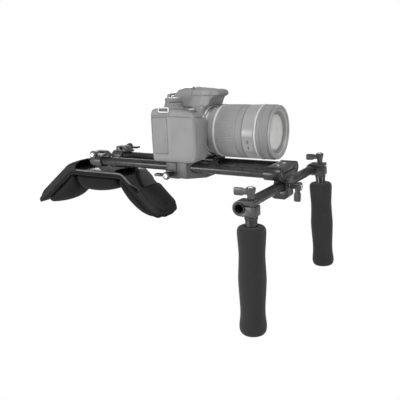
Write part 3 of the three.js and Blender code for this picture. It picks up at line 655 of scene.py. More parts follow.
for side in SIDES:
    refined("shoulder_clamp_" + side, "part", 0.6)
    refined("handle_clamp_" + side, "part", 0.6)
refined("shoulder_pedestal", "rod", 0.8)
refined("front_bracket", "rod", 0.8)
refined("base_block", "base", 0.9)
refined("base_jaw", "base", 0.6)
refined("quick_plate", "rod", 0.5)
for node, material in (("camera_screw", "steel"), ("camera_cell", "shell_dark")):
    frame["nodes"][node].data.materials.clear()
    frame["nodes"][node].data.materials.append(M[material])
for i, (x, y) in enumerate([(-36, -17), (-36, 17), (16, -15), (16, 15)]):
    cap_screw(
        f"base_bolt_{i}", x, y, -0.4, Matrix.Scale(-1, 4, (0, 0, 1)), "camera_base", 2.8,
        1.2
    )
for i, y in enumerate((-12, 12)):
    cap_screw(f"bracket_bolt_{i}", 142, y, 25.8, Matrix.Identity(4), "bracket", 2.4, 1.2)


# ---------------------------------------------------------------- handles
GRIP_TOP, GRIP_BOTTOM = -29.5, -180.5
GRIP_BORE, BORE_FLOOR = 8.3, -166.9


def grip_wave():
    """The waved outside of a foam grip, from its top to its foot."""
    top, bottom = GRIP_TOP, GRIP_BOTTOM
    return [
        (13, top), (16.6, top - 0.9), (18.6, top - 4), (19.1, top - 9), (18.4, top - 22), (17.6, top - 38),
        (18.1, top - 56), (18.9, top - 74), (18.1, top - 94), (17.0, top - 114), (17.2, top - 126),
        (18.5, top - 138), (18.3, bottom + 6), (16.4, bottom + 1.6), (13, bottom + 0.2),
    ]


def smooth_curve(points, per=6):
    """Catmull-Rom points through a list of 2-D points."""
    out = []
    for i in range(len(points) - 1):
        p0, p1, p2, p3 = (Vector(points[max(0, min(len(points) - 1, i + k))]) for k in (-1, 0, 1, 2))
        for k in range(per):
            t = k / per
            out.append(tuple(0.5 * ((2 * p1) + (p2 - p0) * t + (2 * p0 - 5 * p1 + 4 * p2 - p3) * t * t
                                    + (3 * p1 - p0 - 3 * p2 + p3) * t ** 3)))
    out.append(tuple(points[-1]))
    return out


def foam_grip(side, sign):
    lean = leaning(side)
    # from the bore's floor on the axis, up the bore, over the outside and back to the axis at the foot
    bore = [(0, BORE_FLOOR), (GRIP_BORE, BORE_FLOOR), (GRIP_BORE, GRIP_TOP)]
    profile = bore + smooth_curve(grip_wave(), 6) + [(4, GRIP_BOTTOM), (0, GRIP_BOTTOM)]

    def soft(r, h, a):
        if r <= 12:
            return 0.0
        return 0.22 * noise.noise(Vector((math.cos(a) * 1.2, math.sin(a) * 1.2, h * 0.03 + sign * 7)))

    at = lean @ placed("z", HANDLE_X, sign * HANDLE_Y)
    piece(
        "foam_" + side, lathe(profile, at, 96, 0.6, soft), "foam", "handle_" + side,
        ["foam_grip_" + side], sharp=50
    )
    shank = [(0, -166.4), (8, -166.4), (8, -16.3), (0, -16.3)]
    piece(
        "shank_" + side, lathe(shank, at, 64, 0.6), "shank", "handle_" + side,
        ["handle_bar_" + side], sharp=45
    )
    collar = [(8.05, -20.2), (8.9, -20.2), (8.9, -16.4), (8.05, -16.4)]
    piece(
        "collar_" + side, lathe(collar, at, 64, 0.4), "shank", "handle_" + side,
        sharp=45
    )


for side, sign in SIDES.items():
    foam_grip(side, sign)


# ---------------------------------------------------------------- shoulder pad
PAD_TOP = -2
BEND = {"rear": -258, "front": -152}
TURN = {"rear": math.radians(37.5), "front": math.radians(42)}
BEND_RADIUS = 24
PAD_MIDDLE = (BEND["rear"] + BEND["front"]) / 2
HALF_FLAT = (BEND["front"] - BEND["rear"]) / 2
WING_START = {k: HALF_FLAT + BEND_RADIUS * a for k, a in TURN.items()}
PLATE_END = {"rear": -(WING_START["rear"] + 88), "front": WING_START["front"] + 84}
COVER_END = {"rear": -(WING_START["rear"] + 113.5), "front": WING_START["front"] + 97}
MOUTH = {"rear": -(HALF_FLAT - 6), "front": WING_START["front"] + 37}
UNDER = -4.3


def on_pad(s, y, h):
    """A point at a distance s along the plate from its middle (negative to the rear) and h above its top."""
    wing, forward = ("front", 1) if s > 0 else ("rear", -1)
    d = abs(s)
    if d <= HALF_FLAT:
        return (PAD_MIDDLE + s, y, PAD_TOP + h)
    a = min((d - HALF_FLAT) / BEND_RADIUS, TURN[wing])
    along = max(0.0, d - WING_START[wing])
    r = BEND_RADIUS + h
    return (
        PAD_MIDDLE + forward * (HALF_FLAT + r * math.sin(a) + along * math.cos(a)),
        y,
        PAD_TOP - BEND_RADIUS + r * math.cos(a) - along * math.sin(a),
    )


def between(table, x):
    """Smooth interpolation in a list of (x, value)."""
    if x <= table[0][0]:
        return table[0][1]
    for (x0, v0), (x1, v1) in zip(table, table[1:]):
        if x <= x1:
            t = (x - x0) / (x1 - x0)
            t = t * t * (3 - 2 * t)
            return v0 + (v1 - v0) * t
    return table[-1][1]


def steps(a, b, pitch):
    n = max(2, round(abs(b - a) / pitch))
    return [a + (b - a) * i / n for i in range(n + 1)]


def lofted(loops, ends=True):
    n = len(loops[0])
    verts = [p for loop in loops for p in loop]
    faces = []
    for i in range(len(loops) - 1):
        for k in range(n):
            a, b = i * n, (i + 1) * n
            faces.append((a + k, a + (k + 1) % n, b + (k + 1) % n, b + k))
    if ends:
        faces += [tuple(range(n))[::-1], tuple(range((len(loops) - 1) * n, len(loops) * n))]
    return mesh_from(verts, faces)


front_start, rear_start = WING_START["front"], -WING_START["rear"]
PLATE_WIDTH = [
    (PLATE_END["rear"], 22), (PLATE_END["rear"] + 8, 25.6), (rear_start - 30, 26.4),
    (rear_start - 8, 34), (rear_start, 34),
    (front_start + 14, 34), (front_start + 32, 26.4), (PLATE_END["front"] - 8, 25.6),
    (PLATE_END["front"], 22),
]
COVER_WIDTH = [
    (COVER_END["rear"], 26), (COVER_END["rear"] + 2, 30.5), (COVER_END["rear"] + 5, 33),
    (COVER_END["rear"] + 11, 34.6),
    (rear_start - 50, 35), (front_start + 20, 35), (front_start + 78, 35), (front_start + 86, 33.2),
    (front_start + 92, 28.6),
    (front_start + 95.5, 21), (front_start + 97.5, 11),
]


def plate_mesh():
    loops = []
    for s in steps(PLATE_END["rear"], PLATE_END["front"], 4):
        w = between(PLATE_WIDTH, s)
        section = [
            (-w, -3.2), (-w, -0.9), (-w + 0.35, -0.25), (-w + 1, 0), (w - 1, 0), (w - 0.35, -0.25),
            (w, -0.9), (w, -3.2), (w - 0.8, -4), (-w + 0.8, -4)
        ]
        loops.append([on_pad(s, y, h) for y, h in section])
    return lofted(loops)


def edge_strip(sign):
    """The bare machined edge of the plate, between the two pockets."""
    loops = []
    for s in steps(MOUTH["rear"] - 10, MOUTH["front"] + 6, 3):
        w = between(PLATE_WIDTH, s)
        section = [
            (w - 0.2, -3.3), (w + 0.16, -3.3), (w + 0.2, -2), (w + 0.16, -0.85), (w - 0.35, -0.1),
            (w - 0.5, -0.3), (w - 0.2, -1.2)
        ]
        loops.append([on_pad(s, sign * y, h) for y, h in section])
    return lofted(loops)


piece(
    "pad_plate_sheet", plate_mesh(), "plate_top", "shoulder_support", ["pad_plate"],
    sharp=30
)
for side, sign in SIDES.items():
    piece(
        "pad_plate_edge_" + side, edge_strip(sign), "plate_edge", "shoulder_support",
        sharp=30
    )


def ruffle(s, y, size, salt=0.0):
    return size * noise.noise(Vector((s * 0.045 + salt, y * 0.06, salt * 1.7)))


def tip_lift(s):
    """How far the padding rises towards the plate's top over the last stretch of the rear tip."""
    return 3.4 * (1 - min(1.0, (s - COVER_END["rear"]) / 30))


def fullness(s):
    """How full the padding is, which falls off close to either tip."""
    return min(1.0, (min(s - COVER_END["rear"], COVER_END["front"] - s) + 2.2) / 9) ** 0.5


def liner_low(s):
    """The height of the padding's underside."""
    taper = min(1.0, (s - COVER_END["rear"]) / 30)
    return UNDER - 0.3 - 5 * fullness(s) * (0.25 + 0.75 * taper) + tip_lift(s)


def liner_mesh():
    """The padded layer under the plate, quilted slightly between its edges."""
    loops = []
    for s in steps(COVER_END["rear"], COVER_END["front"], 3.2):
        w = between(COVER_WIDTH, s)
        on_plate = PLATE_END["rear"] - 1 < s < PLATE_END["front"] + 1
        low = liner_low(s)
        top = UNDER - 0.15 if on_plate else UNDER + 1.5 * fullness(s) + 1.4 * tip_lift(s)
        mid = (low + top) / 2
        half = (top - low) / 2
        loop = []
        for k in range(40):
            a = 2 * math.pi * (k + 0.5) / 40
            c, q = math.cos(a), math.sin(a)
            y = w * math.copysign(abs(c) ** 0.22, c)
            h = mid + half * math.copysign(abs(q) ** 0.42, q)
            if q < 0:
                h += ruffle(s, y, 0.35, 3.1)
            loop.append(on_pad(s, y, h))
        loops.append(loop)
    return lofted(loops)


def pocket_profile(wing, s):
    """Half-width, rim height, crown and way past its mouth of a pocket, at a distance s along the pad."""
    w = between(COVER_WIDTH, s)
    past_mouth = abs(s) - abs(MOUTH[wing])
    to_tip = abs(COVER_END[wing]) - abs(s)
    fall = min(1.0, max(0.0, to_tip / (15 if wing == "front" else 26))) ** 0.6
    edge, tip_edge, full = (-3.2, -7.2, 9.6) if wing == "front" else (4.4, 0.6, 7.6)
    rim = edge * fall + tip_edge * (1 - fall)
    full += 1.6 * math.exp(-((past_mouth / 5) ** 2))
    return w, rim, full * fall, past_mouth


def pocket_height(wing, s, t):
    """Height of a pocket's face at t across it, from -1 to 1, with folds near its mouth."""
    w, rim, crown, past_mouth = pocket_profile(wing, s)
    arch = (1 - abs(t) ** 4.2) ** 0.85
    salt = 5.3 if wing == "rear" else 1.2
    fold = 0.55 * math.sin(s * 0.30 + 3 * t + salt) * math.exp(-past_mouth / 26) * (1 - abs(t) ** 4)
    return rim + crown * arch + fold * 0.8 + ruffle(s, t * w, 0.5, salt) * (1 - abs(t) ** 3)


def pocket_mesh(wing):
    """A fabric face with thickness that runs over the plate's end and turns down at its sides."""
    loops = []
    skin = 1.5
    for s in steps(MOUTH[wing], COVER_END[wing], 2.6):
        w, rim, _, _ = pocket_profile(wing, s)
        outer, inner = [], []
        count = 26
        for k in range(count + 1):
            t = -1 + 2 * k / count
            outer.append((t * (w - 0.4), pocket_height(wing, s, t)))
            inner.append((t * (w - 0.4 - skin), pocket_height(wing, s, t * 0.97) - skin))
        foot = UNDER - 0.2 + tip_lift(s)
        wall_out = [(-w, foot), (-w - 0.25, (foot + rim) / 2)]
        wall_in = [(-w + skin, foot), (-w + skin, (foot + rim) / 2)]
        section = wall_out + outer + [
            (-y, h) for y, h in reversed(wall_out)
        ] + [(-y, h) for y, h in wall_in] + inner[::-1] + wall_in[::-1]
        loops.append([on_pad(s, y, h) for y, h in section])
    return lofted(loops)


def along_rim(wing, inset, lift):
    """Points along a pocket's rim: down one side, round the tip and back up the other side."""
    end = COVER_END[wing] - math.copysign(inset * 1.1, COVER_END[wing])
    side = []
    for s in steps(MOUTH[wing], end, 2.5):
        w = max(0.5, between(COVER_WIDTH, s + math.copysign(inset * 0.9, s)) - inset)
        t = w / between(COVER_WIDTH, s)
        side.append((s, w, pocket_height(wing, s, t) + lift))
    near = [on_pad(s, -w, h) for s, w, h in side]
    far = [on_pad(s, w, h) for s, w, h in reversed(side)]
    return near + far


def resampled(points, pitch):
    pts = [Vector(p) for p in points]
    out = [pts[0]]
    left = pitch
    for a, b in zip(pts, pts[1:]):
        length = (b - a).length
        while left <= length:
            out.append(a.lerp(b, left / length))
            left += pitch
        left -= length
    return out


def stitches(points, pitch, length, radius):
    """A row of short raised thread stitches along a line of points."""
    pts = resampled(points, pitch)
    made = []
    for a, b in zip(pts, pts[1:]):
        along = (b - a).normalized()
        mid = (a + b) / 2
        ends = [
            mid - along * length / 2, mid - along * length / 4, mid + along * length / 4,
            mid + along * length / 2
        ]
        made.append(tube([tuple(p) for p in ends], radius, 5))
    return joined(*made)


pad_piece("pad_liner", liner_mesh(), "pad", ["pad_cover"], sharp=60)
for wing in ("rear", "front"):
    face = pad_piece("pocket_" + wing, pocket_mesh(wing), "pocket", sharp=70)
    rope = resampled(along_rim(wing, 5.6, 0.3), 2.0)
    pad_piece("pocket_piping_" + wing, tube(rope, 0.95, 10), "piping")
    pad_piece("pocket_stitch_" + wing, stitches(along_rim(wing, 8.4, 0.08), 4.2, 2.7, 0.22), "thread")
    lip = [on_pad(
        MOUTH[wing], t * (between(COVER_WIDTH, MOUTH[wing]) - 0.4),
        pocket_height(wing, MOUTH[wing], t) - 0.6
    )
           for t in (k / 20 - 1 for k in range(41))]
    pad_piece("pocket_binding_" + wing, tube(lip, 1.35, 10, flat=0.9), "piping")


def all_round(height, out):
    """A line round the pad's edge, at a height that depends on the distance along it."""
    start, end = COVER_END["rear"] + 2.5, COVER_END["front"] - 4
    side = [(s, between(COVER_WIDTH, s) + out, height(s)) for s in steps(start, end, 3)]
    return [on_pad(s, -w, q) for s, w, q in side] + [on_pad(s, w, q) for s, w, q in reversed(side)]


def closed_tube(points, radius):
    pts = resampled(list(points) + [points[0]], 2.4)
    return tube(pts[:-1] if (pts[0] - pts[-1]).length < 1.2 else pts, radius, 9, closed=True)


pad_piece("gusset_piping_low", closed_tube(all_round(lambda s: liner_low(s) + 0.3, -0.5), 1.1), "piping")
pad_piece(
    "gusset_piping_high", closed_tube(all_round(lambda s: UNDER - 0.4 + tip_lift(s), -0.1), 0.85),
    "piping"
)


# Cushions: each is a crowned form under the liner between two stations along the pad, filled by pressure.
CUSHIONS = {
    "centre": (
        steps(-51, 50, 84),
        [(-257, -15), (-257.4, -27), (-256, -36), (-250, -42), (-238, -44.8), (-224, -45.4), (-210, -44.8), (-194.7, -42.8),
         (-180, -39.6), (-167, -35.6), (-158.4, -30.4), (-156, -23), (-157, -14)],
    ),
    "rear": (
        steps(-156, -53, 80),
        [(-347, -78), (-340, -77.4), (-328, -76), (-315, -74), (-300, -70.6), (-286.5, -65), (-276, -58), (-268, -50), (-261.6, -42.4),
         (-258.8, -34), (-258.6, -25), (-259, -15)],
    ),
    "front": (
        steps(53, 151, 80),
        [(-153.6, -17.5), (-154.6, -26), (-153.4, -35), (-148.6, -42.6), (-142.2, -51.4), (-134, -60), (-124.2, -67.6),
         (-113.4, -74), (-104.2, -77.6), (-95, -79.4), (-87, -80.2), (-80, -80.6)],
    ),
}
CUSHION_TOP = UNDER - 5.9


def cushion_mesh(stations, curve, width):
    """Closed loops from one end of the cushion to the other: a flat top on the liner and a crowned foot."""
    s0, s1 = stations[0], stations[-1]
    foot = smooth_curve(curve, 8)
    lengths = [0.0]
    for a, b in zip(foot, foot[1:]):
        lengths.append(lengths[-1] + math.dist(a, b))

    def foot_at(u):
        want = u * lengths[-1]
        for i in range(len(lengths) - 1):
            if want <= lengths[i + 1]:
                t = (want - lengths[i]) / (lengths[i + 1] - lengths[i])
                return Vector(foot[i]).lerp(Vector(foot[i + 1]), t)
        return Vector(foot[-1])

    loops = []
    count = 44
    rings = 46
    for i in range(rings + 1):
        u = i / rings
        x, _, z = on_pad(s0 + (s1 - s0) * u, 0, CUSHION_TOP)
        top = Vector((x, z))
        low = foot_at(u)
        pull = (1 - abs(2 * u - 1) ** 7) ** 0.5
        w = width * (0.84 + 0.16 * pull)
        loop = []
        for k in range(count):
            a = 2 * math.pi * (k + 0.5) / count
            c, q = math.cos(a), math.sin(a)
            y = w * math.copysign(abs(c) ** 0.72, c)
            if q >= 0:
                depth = 0.16 - 0.16 * q ** 0.5
            else:
                depth = 0.16 + 0.84 * abs(q) ** 0.82
            p = top.lerp(low, depth)
            loop.append((p.x, y, p.y))
        loops.append(loop)
    return lofted(loops)


def stuffed(mesh, voxel, cap, frames=20):
    """Blow a closed form up like a stuffed cushion, with each point held near where it began."""
    start = baked(mesh, ("REMESH", {"mode": "VOXEL", "voxel_size": voxel * MM, "adaptivity": 0.0}),
                      ("SMOOTH", {"factor": 0.5, "iterations": 3}))
    o = bpy.data.objects.new("stuffing", start.copy())
    scene.collection.objects.link(o)
    cloth = o.modifiers.new("cloth", "CLOTH")
    cloth.settings.quality = 5
    cloth.settings.mass = 0.15
    cloth.settings.tension_stiffness = 18
    cloth.settings.compression_stiffness = 18
    cloth.settings.bending_stiffness = 0.6
    cloth.settings.use_pressure = True
    cloth.settings.uniform_pressure_force = 4
    cloth.settings.effector_weights.gravity = 0
    cloth.collision_settings.use_collision = False
    for f in range(1, frames + 1):
        scene.frame_set(f)
    depsgraph = bpy.context.evaluated_depsgraph_get()
    blown = bpy.data.meshes.new_from_object(o.evaluated_get(depsgraph))
    bpy.data.objects.remove(o)
    scene.frame_set(1)
    for v, rest in zip(blown.vertices, start.vertices):
        shift = v.co - rest.co
        if shift.length > cap * MM:
            v.co = rest.co + shift.normalized() * cap * MM
    return baked(blown, ("SMOOTH", {"factor": 0.4, "iterations": 2}), ("SUBSURF", {"levels": 1}))


for name, (stations, curve) in CUSHIONS.items():
    form = stuffed(cushion_mesh(stations, curve, 33.4), 4.0, 2.2)
    c = pad_piece("stuffed_" + name, form, "pad", ["cushion_" + name])


# ---------------------------------------------------------------- camera
def carved(mesh, cutters, operation="DIFFERENCE"):
    """Cut closed meshes out of a closed mesh, or keep only what they share."""
    for cutter in cutters:
        tool = bpy.data.objects.new("cutter", cutter)
        scene.collection.objects.link(tool)
        mesh = baked(mesh, ("BOOLEAN", {"object": tool, "operation": operation, "solver": "EXACT"}))
        bpy.data.objects.remove(tool)
    return mesh


def block(x0, y0, z0, x1, y1, z1, soft=0.8, corner=1.2):
    """A soft-edged block given by two corners."""
    return slab(rect(x0, y0, x1, y1), z0, z1, placed("z"), soft, 3, corner)


SHELL_BOTTOM, SHELL_REAR, SHELL_FRONT, SHELL_RIGHT, SHELL_LEFT, SHOULDER = 31.5, -45, 25, -72, 62, 112
LENS_Z = 74
DIAL_X, DIAL_Y = -19, -44
DIAL_AT = placed("z", DIAL_X, DIAL_Y)
BUTTON_AT = placed("z", 21, -56)


def camera_shell():
    main = slab(
        rect(SHELL_LEFT, SHELL_BOTTOM, -46, SHOULDER), SHELL_REAR, SHELL_FRONT, placed("x"), 4.5, 4, 8
    )
    side = [
        (-43, SHELL_BOTTOM), (24, SHELL_BOTTOM), (34, SHELL_BOTTOM + 3), (36.6, SHELL_BOTTOM + 14),
        (37, 92), (35, 103), (26, 108.5),
        (6, 111.4), (-12, SHOULDER + 0.6), (-30, 114.2), (-42, 112), (-45.2, 104), (-45, 60), (-44.4, 40),
    ]
    grip = slab(side, SHELL_RIGHT, -36, placed("y"), 8, 5, 5)
    stand = lathe([(0, 96), (16.5, 96), (15.2, 110), (13.8, 117), (13.6, 121), (0, 121)], DIAL_AT, 48, 0.6)
    collar = lathe(
        [(0, 8), (41, 8), (39.5, 24), (38.4, 28), (36.4, 28.6), (36, 25), (0, 25)],
        placed("x", 0, 0, LENS_Z), 96, 1.2
    )
    rest = block(-43, 34, SHOULDER - 6, -12, 56, SHOULDER - 0.4, 1.6, 5)
    thumb = slab(
        [(-38, 84), (-46.6, 90), (-47.6, 98), (-45, 106), (-36, 106)], -66, -42, placed("y"), 3, 3, 3
    )
    box = slab(
        [
            (-33, 34), (33, 34), (38, 44), (40, 74), (38, 102), (33, 116), (-33, 116), (-38, 102),
            (-40, 74), (-38, 44)
        ],
        6, 27.4, placed("x"), 2.6, 4, 7,
    )
    skin = moulded_union([main, grip, stand, collar, box, rest, thumb], 1.25, 0.5, 7)
    throat = lathe([(0, 4), (22.5, 4), (22.5, 30), (0, 30)], placed("x", 0, 0, LENS_Z), 48, 0.2)
    door_bay = slab(
        rect(SHELL_REAR + 3, 44, -13.6, 100), SHELL_RIGHT - 4, SHELL_RIGHT + 2.3, placed("y"), 0, 1, 2
    )
    button_bay = lathe([(0, 106), (4.9, 106), (4.9, 130), (0, 130)], BUTTON_AT, 32, 0.1)
    return carved(skin, [throat, door_bay, button_bay])


def housing_stock():
    """The raised housing over the lens: flared sections along X, with a blunt overhanging nose."""
    top = [
        (-41.5, 119), (-39, 125.5), (-34, 133), (-27, 139.2), (-17, 141.6), (0, 141.5), (20, 140.2),
        (36, 138.6), (42, 137.8), (45.2, 136.4), (46.8, 133.4)
    ]
    foot = [
        (-41.5, 112.3), (27, 112.3), (31, 114.4), (33, 118), (34.8, 122), (37.6, 125), (41.4, 126.8),
        (45, 127.8), (46.8, 130.4)
    ]
    base = [
        (-41.5, 27), (-36, 32), (-24, 35.6), (4, 36.2), (18, 34), (26, 30), (34, 25.6), (40.4, 22.4),
        (45, 19.8), (46.8, 16.5)
    ]
    loops = []
    for x in steps(-41.5, 46.8, 1.3):
        z1, z0, w = between(top, x), between(foot, x), between(base, x)
        tall = z1 - z0
        overhang = min(1.0, max(0.0, (x - 30) / 8))
        loop = []
        for k in range(80):
            a = 2 * math.pi * (k + 0.5) / 80
            c, q = math.cos(a), math.sin(a)
            power = 0.5 if q > 0 else 0.16 + 0.3 * overhang
            z = (z0 + z1) / 2 + tall / 2 * math.copysign(abs(q) ** power, q)
            share = (z - z0) / tall
            flare = 1 - (0.47 - 0.3 * overhang) * share ** 0.72
            loop.append(
                (x, w * flare * math.copysign(abs(c) ** (0.42 if q > 0 else 0.16 + 0.3 * overhang), c), z)
            )
        loops.append(loop)
    return lofted(loops)


shell_piece("camera_shell", camera_shell(), "shell", replaces=["camera_body"])
dial_room = lathe([(0, 110.5), (14.6, 110.5), (14.6, 150), (0, 150)], DIAL_AT, 48, 0.1)
flash_room = block(1.7, -45, 129.2, 70, 45, 160, 0, 0)
flash_block = block(2.2, -45, 129.7, 70, 45, 160, 0, 0)
stock = housing_stock()
shell_piece(
    "finder_housing", carved(stock.copy(), [flash_room, dial_room]), "shell",
    replaces=["viewfinder_housing"], sharp=40
)
# The lid is relieved round its hinge line, so that its top edge clears the housing as it lifts.
hinge_room = lathe([(0, -45), (1.5, -45), (1.5, 45), (0, 45)], placed("y", 1.85, 0, 140.9), 32, 0)
lid = carved(stock.copy(), [flash_block], "INTERSECT")
piece(
    "flash_lid", carved(lid, [dial_room.copy(), hinge_room]), "shell", "flash",
    ["flash_head"], sharp=40
)

# Flash lamp under the lid's nose, and the lid's hinge barrels.
piece(
    "flash_lamp", slab(rect(-13, 129.9, 13, 132.6), 34, 43, placed("x"), 0.5, 2, 1), "shell_light",
    "flash", sharp=40
)
for side, sign in SIDES.items():
    hinge = [(0, 14), (1.6, 14), (1.6, 19), (0, 19)]
    piece(
        "flash_hinge_" + side,
        lathe([(r, h * sign) for r, h in hinge], placed("y", 2.6, 0, 139.2), 20, 0.3), "shell_dark",
        "flash"
    )

# Accessory shoe on top, behind the flash lid.
shoe_floor = block(-24, -9.5, 138.6, -3, 9.5, 141.5, 0.3, 1)
rails = [block(-24, y0, 140.6, -4, y1, 142.4, 0.3, 0.5) for y0, y1 in ((-9.6, -8.1), (8.1, 9.6))]
lips = [block(-24, y0, 142.0, -4, y1, 142.6, 0.2, 0.3) for y0, y1 in ((-9.6, -6.2), (6.2, 9.6))]
shell_piece("accessory_shoe", joined(shoe_floor, *rails, *lips), "steel", sharp=40)
contact = [(0, 141.3), (1.1, 141.3), (1.1, 141.8), (0, 141.8)]
pins = [lathe(contact, placed("z", x, y, 0), 16, 0.1) for x, y in ((-16, 0), (-10, -4), (-10, 4), (-20, 3))]
shell_piece("shoe_contacts", joined(*pins), "plate_edge", sharp=38)


# Covering on the grip: a close skin over its side and front, with a rolled border.
def grip_skin(u0, u1, z0, z1, sign=-1, lift=0.55):
    """A patch that wraps the grip's side and front between two stations round its plan."""
    plan = filleted([(-10, SHELL_RIGHT), (37, SHELL_RIGHT), (37, -47.5), (27.5, -43)], 9.5, 12)
    path = resampled([(x, y, 0) for x, y in plan], 1.4)
    n = len(path)
    loops = []
    for k in range(25):
        v = k / 24
        z = z0 + (z1 - z0) * v
        edge = min(1.0, min(v, 1 - v) * 18)
        row = []
        for i in range(round(u0 * (n - 1)), round(u1 * (n - 1)) + 1):
            p = path[i]
            t = (path[min(n - 1, i + 1)] - path[max(0, i - 1)]).normalized()
            out = Vector((t.y, -t.x, 0))
            side_edge = min(1.0, min(i - round(u0 * (n - 1)), round(u1 * (n - 1)) - i) / 2.5)
            row.append(
                (
                    p + out * (lift * (0.2 + 0.8 * min(edge, side_edge) ** 0.5)) + Vector((0, 0, z)),
                    p - out * 1.5 + Vector((0, 0, z))
                )
            )
        loops.append([q[0] for q in row] + [q[1] for q in reversed(row)])
    return lofted(loops)


shell_piece("grip_skin", grip_skin(0.05, 0.98, 40, 99), "skin", sharp=60)
thumb_skin = slab(rect(-65, 60, -44, 84), SHELL_REAR - 0.6, SHELL_REAR + 2, placed("x"), 0.5, 3, 5)
shell_piece("thumb_skin", thumb_skin, "skin")
left_skin = slab(rect(44, 44, 58.5, 98), SHELL_FRONT - 2, SHELL_FRONT + 0.5, placed("x"), 0.45, 3, 4)
shell_piece("front_skin", left_skin, "skin")

# Seam between the top cover and the body, as a fine rounded bead that follows the outline.
seam_path = filleted(
    [
        (SHELL_REAR - 0.1, SHELL_LEFT), (SHELL_REAR - 0.1, SHELL_RIGHT), (33, SHELL_RIGHT), (37, -60),
        (37, -47), (26, -42)
    ],
    7, 6
)
seam = tube(resampled([(x, y, 101.5 - 0.03 * x) for x, y in seam_path[1:-1]], 2), 0.42, 8)
shell_piece("shell_seam", seam, sharp=80)

# Card door: a curved lid with a raised pull, over two card slots.
door = slab(
    round_rect(SHELL_REAR + 3.5, 44.5, -14.1, 99.5, 2.4, 4), SHELL_RIGHT - 0.05, SHELL_RIGHT + 1.95,
    placed("y"), 0.5, 3
)
pull = slab(
    round_rect(-20, 62, -17.4, 82, 1.2, 3), SHELL_RIGHT - 0.55, SHELL_RIGHT + 0.3, placed("y"), 0.35, 2
)
piece("card_lid", joined(door, pull), "shell", "door", ["card_door"], sharp=40)
# The bay floor and card slots are near-black plates: painted shade for the dark recess and the slot openings.
floor_plate = slab(
    rect(SHELL_REAR + 3.6, 44.6, -14.2, 99.4), SHELL_RIGHT + 2.15, SHELL_RIGHT + 2.5, placed("y"), 0.05,
    1, 2
)
slots = [
    slab(rect(x, 52, x + 3, 90), SHELL_RIGHT + 2.0, SHELL_RIGHT + 2.3, placed("y"), 0.1, 1, 0.6)
    for x in (-36, -28)
]
shell_piece("card_bay", joined(floor_plate, *slots), "socket", sharp=38)

# Strap loops: a bent flat ring on each shoulder, with its rivet plate.
for side, y in (("right", SHELL_RIGHT), ("left", SHELL_LEFT)):
    out = -1 if side == "right" else 1
    ring = round_rect(-27, 108.2, -9, 114.6, 2, 5)
    loop = tube([(x, y + out * 1.35, z) for x, z in ring], 0.95, 10, closed=True)
    replaced = ["strap_lug"] if side == "right" else []
    shell_piece("strap_loop_" + side, loop, "shell_light", replaces=replaced, sharp=80)
    base = slab(
        round_rect(-24.5, 109.6, -11.5, 113.2, 1.2, 3), min(y, y + out * 0.7), max(y, y + out * 0.7),
        placed("y"), 0.25, 2
    )
    shell_piece("strap_plate_" + side, base)

# Controls on top.
knurl = lambda r, h, a: -0.45 * (0.5 + 0.5 * math.cos(52 * a)) ** 2 if r > 12.4 and h < 127 else 0.0
dial = lathe(
    [
        (0, 121.4), (12.4, 121.4), (12.8, 121.8), (12.8, 126.5), (12.2, 127.4), (10.9, 127.8),
        (10.2, 127.7), (3, 127.6), (0, 127.6)
    ],
    DIAL_AT, 312, 0.25, knurl
)
piece("mode_wheel", dial, "shell", "dial", ["mode_dial"], sharp=35)
cap = lathe([(0, 127.3), (9.6, 127.3), (10.6, 127.7), (10.2, 128.0), (0, 128.05)], DIAL_AT, 64, 0.1)
piece("mode_cap", cap, "shell_light", "dial", sharp=50)
marks = [
    slab(
        rect(9.1, -0.28, 10.6, 0.28), 127.9, 128.15,
        DIAL_AT @ Matrix.Rotation(2 * math.pi * i / 14, 4, "Z"), 0.08, 1
    )
    for i in range(14)
]
piece("mode_marks", joined(*marks), "shell_dark", "dial")
shell_piece(
    "mode_pointer",
    slab(
        [(-1.3, -12.6), (1.3, -12.6), (0, -10.6)], 120.6, 121.2, placed("z", DIAL_X, DIAL_Y - 1.6), 0.1,
        1
    ),
    "shell_light", sharp=38
)
button = lathe(
    [(0, 107.8), (4.5, 107.8), (4.5, 111.2), (4.1, 112.0), (2.4, 111.85), (0, 111.7)], BUTTON_AT, 48,
    0.35
)
piece("release_button", button, "shell_light", "button", ["shutter_button"], sharp=50)
collar = lathe([(4.95, 108.4), (7.6, 108.0), (7.2, 110.6), (6.0, 111.4), (4.95, 111.2)], BUTTON_AT, 48, 0.4)
shell_piece("release_collar", collar)
wheel = lathe(
    [(0, -5), (5.6, -5), (5.9, -4.5), (5.9, 4.5), (5.6, 5), (0, 5)], placed("y", 7, -57, 106.4), 144,
    0.3, lambda r, h, a: -0.4 * (0.5 + 0.5 * math.cos(24 * a)) if r > 5 else 0
)
shell_piece("control_wheel", wheel, sharp=40)
small = [
    lathe(
        [(0, 110), (2.3, 110), (2.3, 112.6), (1.7, 113.1), (0, 113.1)], placed("z", x, y, 0), 24, 0.2
    ) for x,
    y in ((2, -39), (-4, -62), (10, -39))
]
shell_piece("top_buttons", joined(*small))
switch = slab(
    round_rect(-3.4, -1.7, 3.4, 1.7, 1.5, 4), 0, 1.3,
    Matrix.Translation(Vector((-30, -64, 113.4)) * MM), 0.35, 2
)
shell_piece("power_switch", switch)

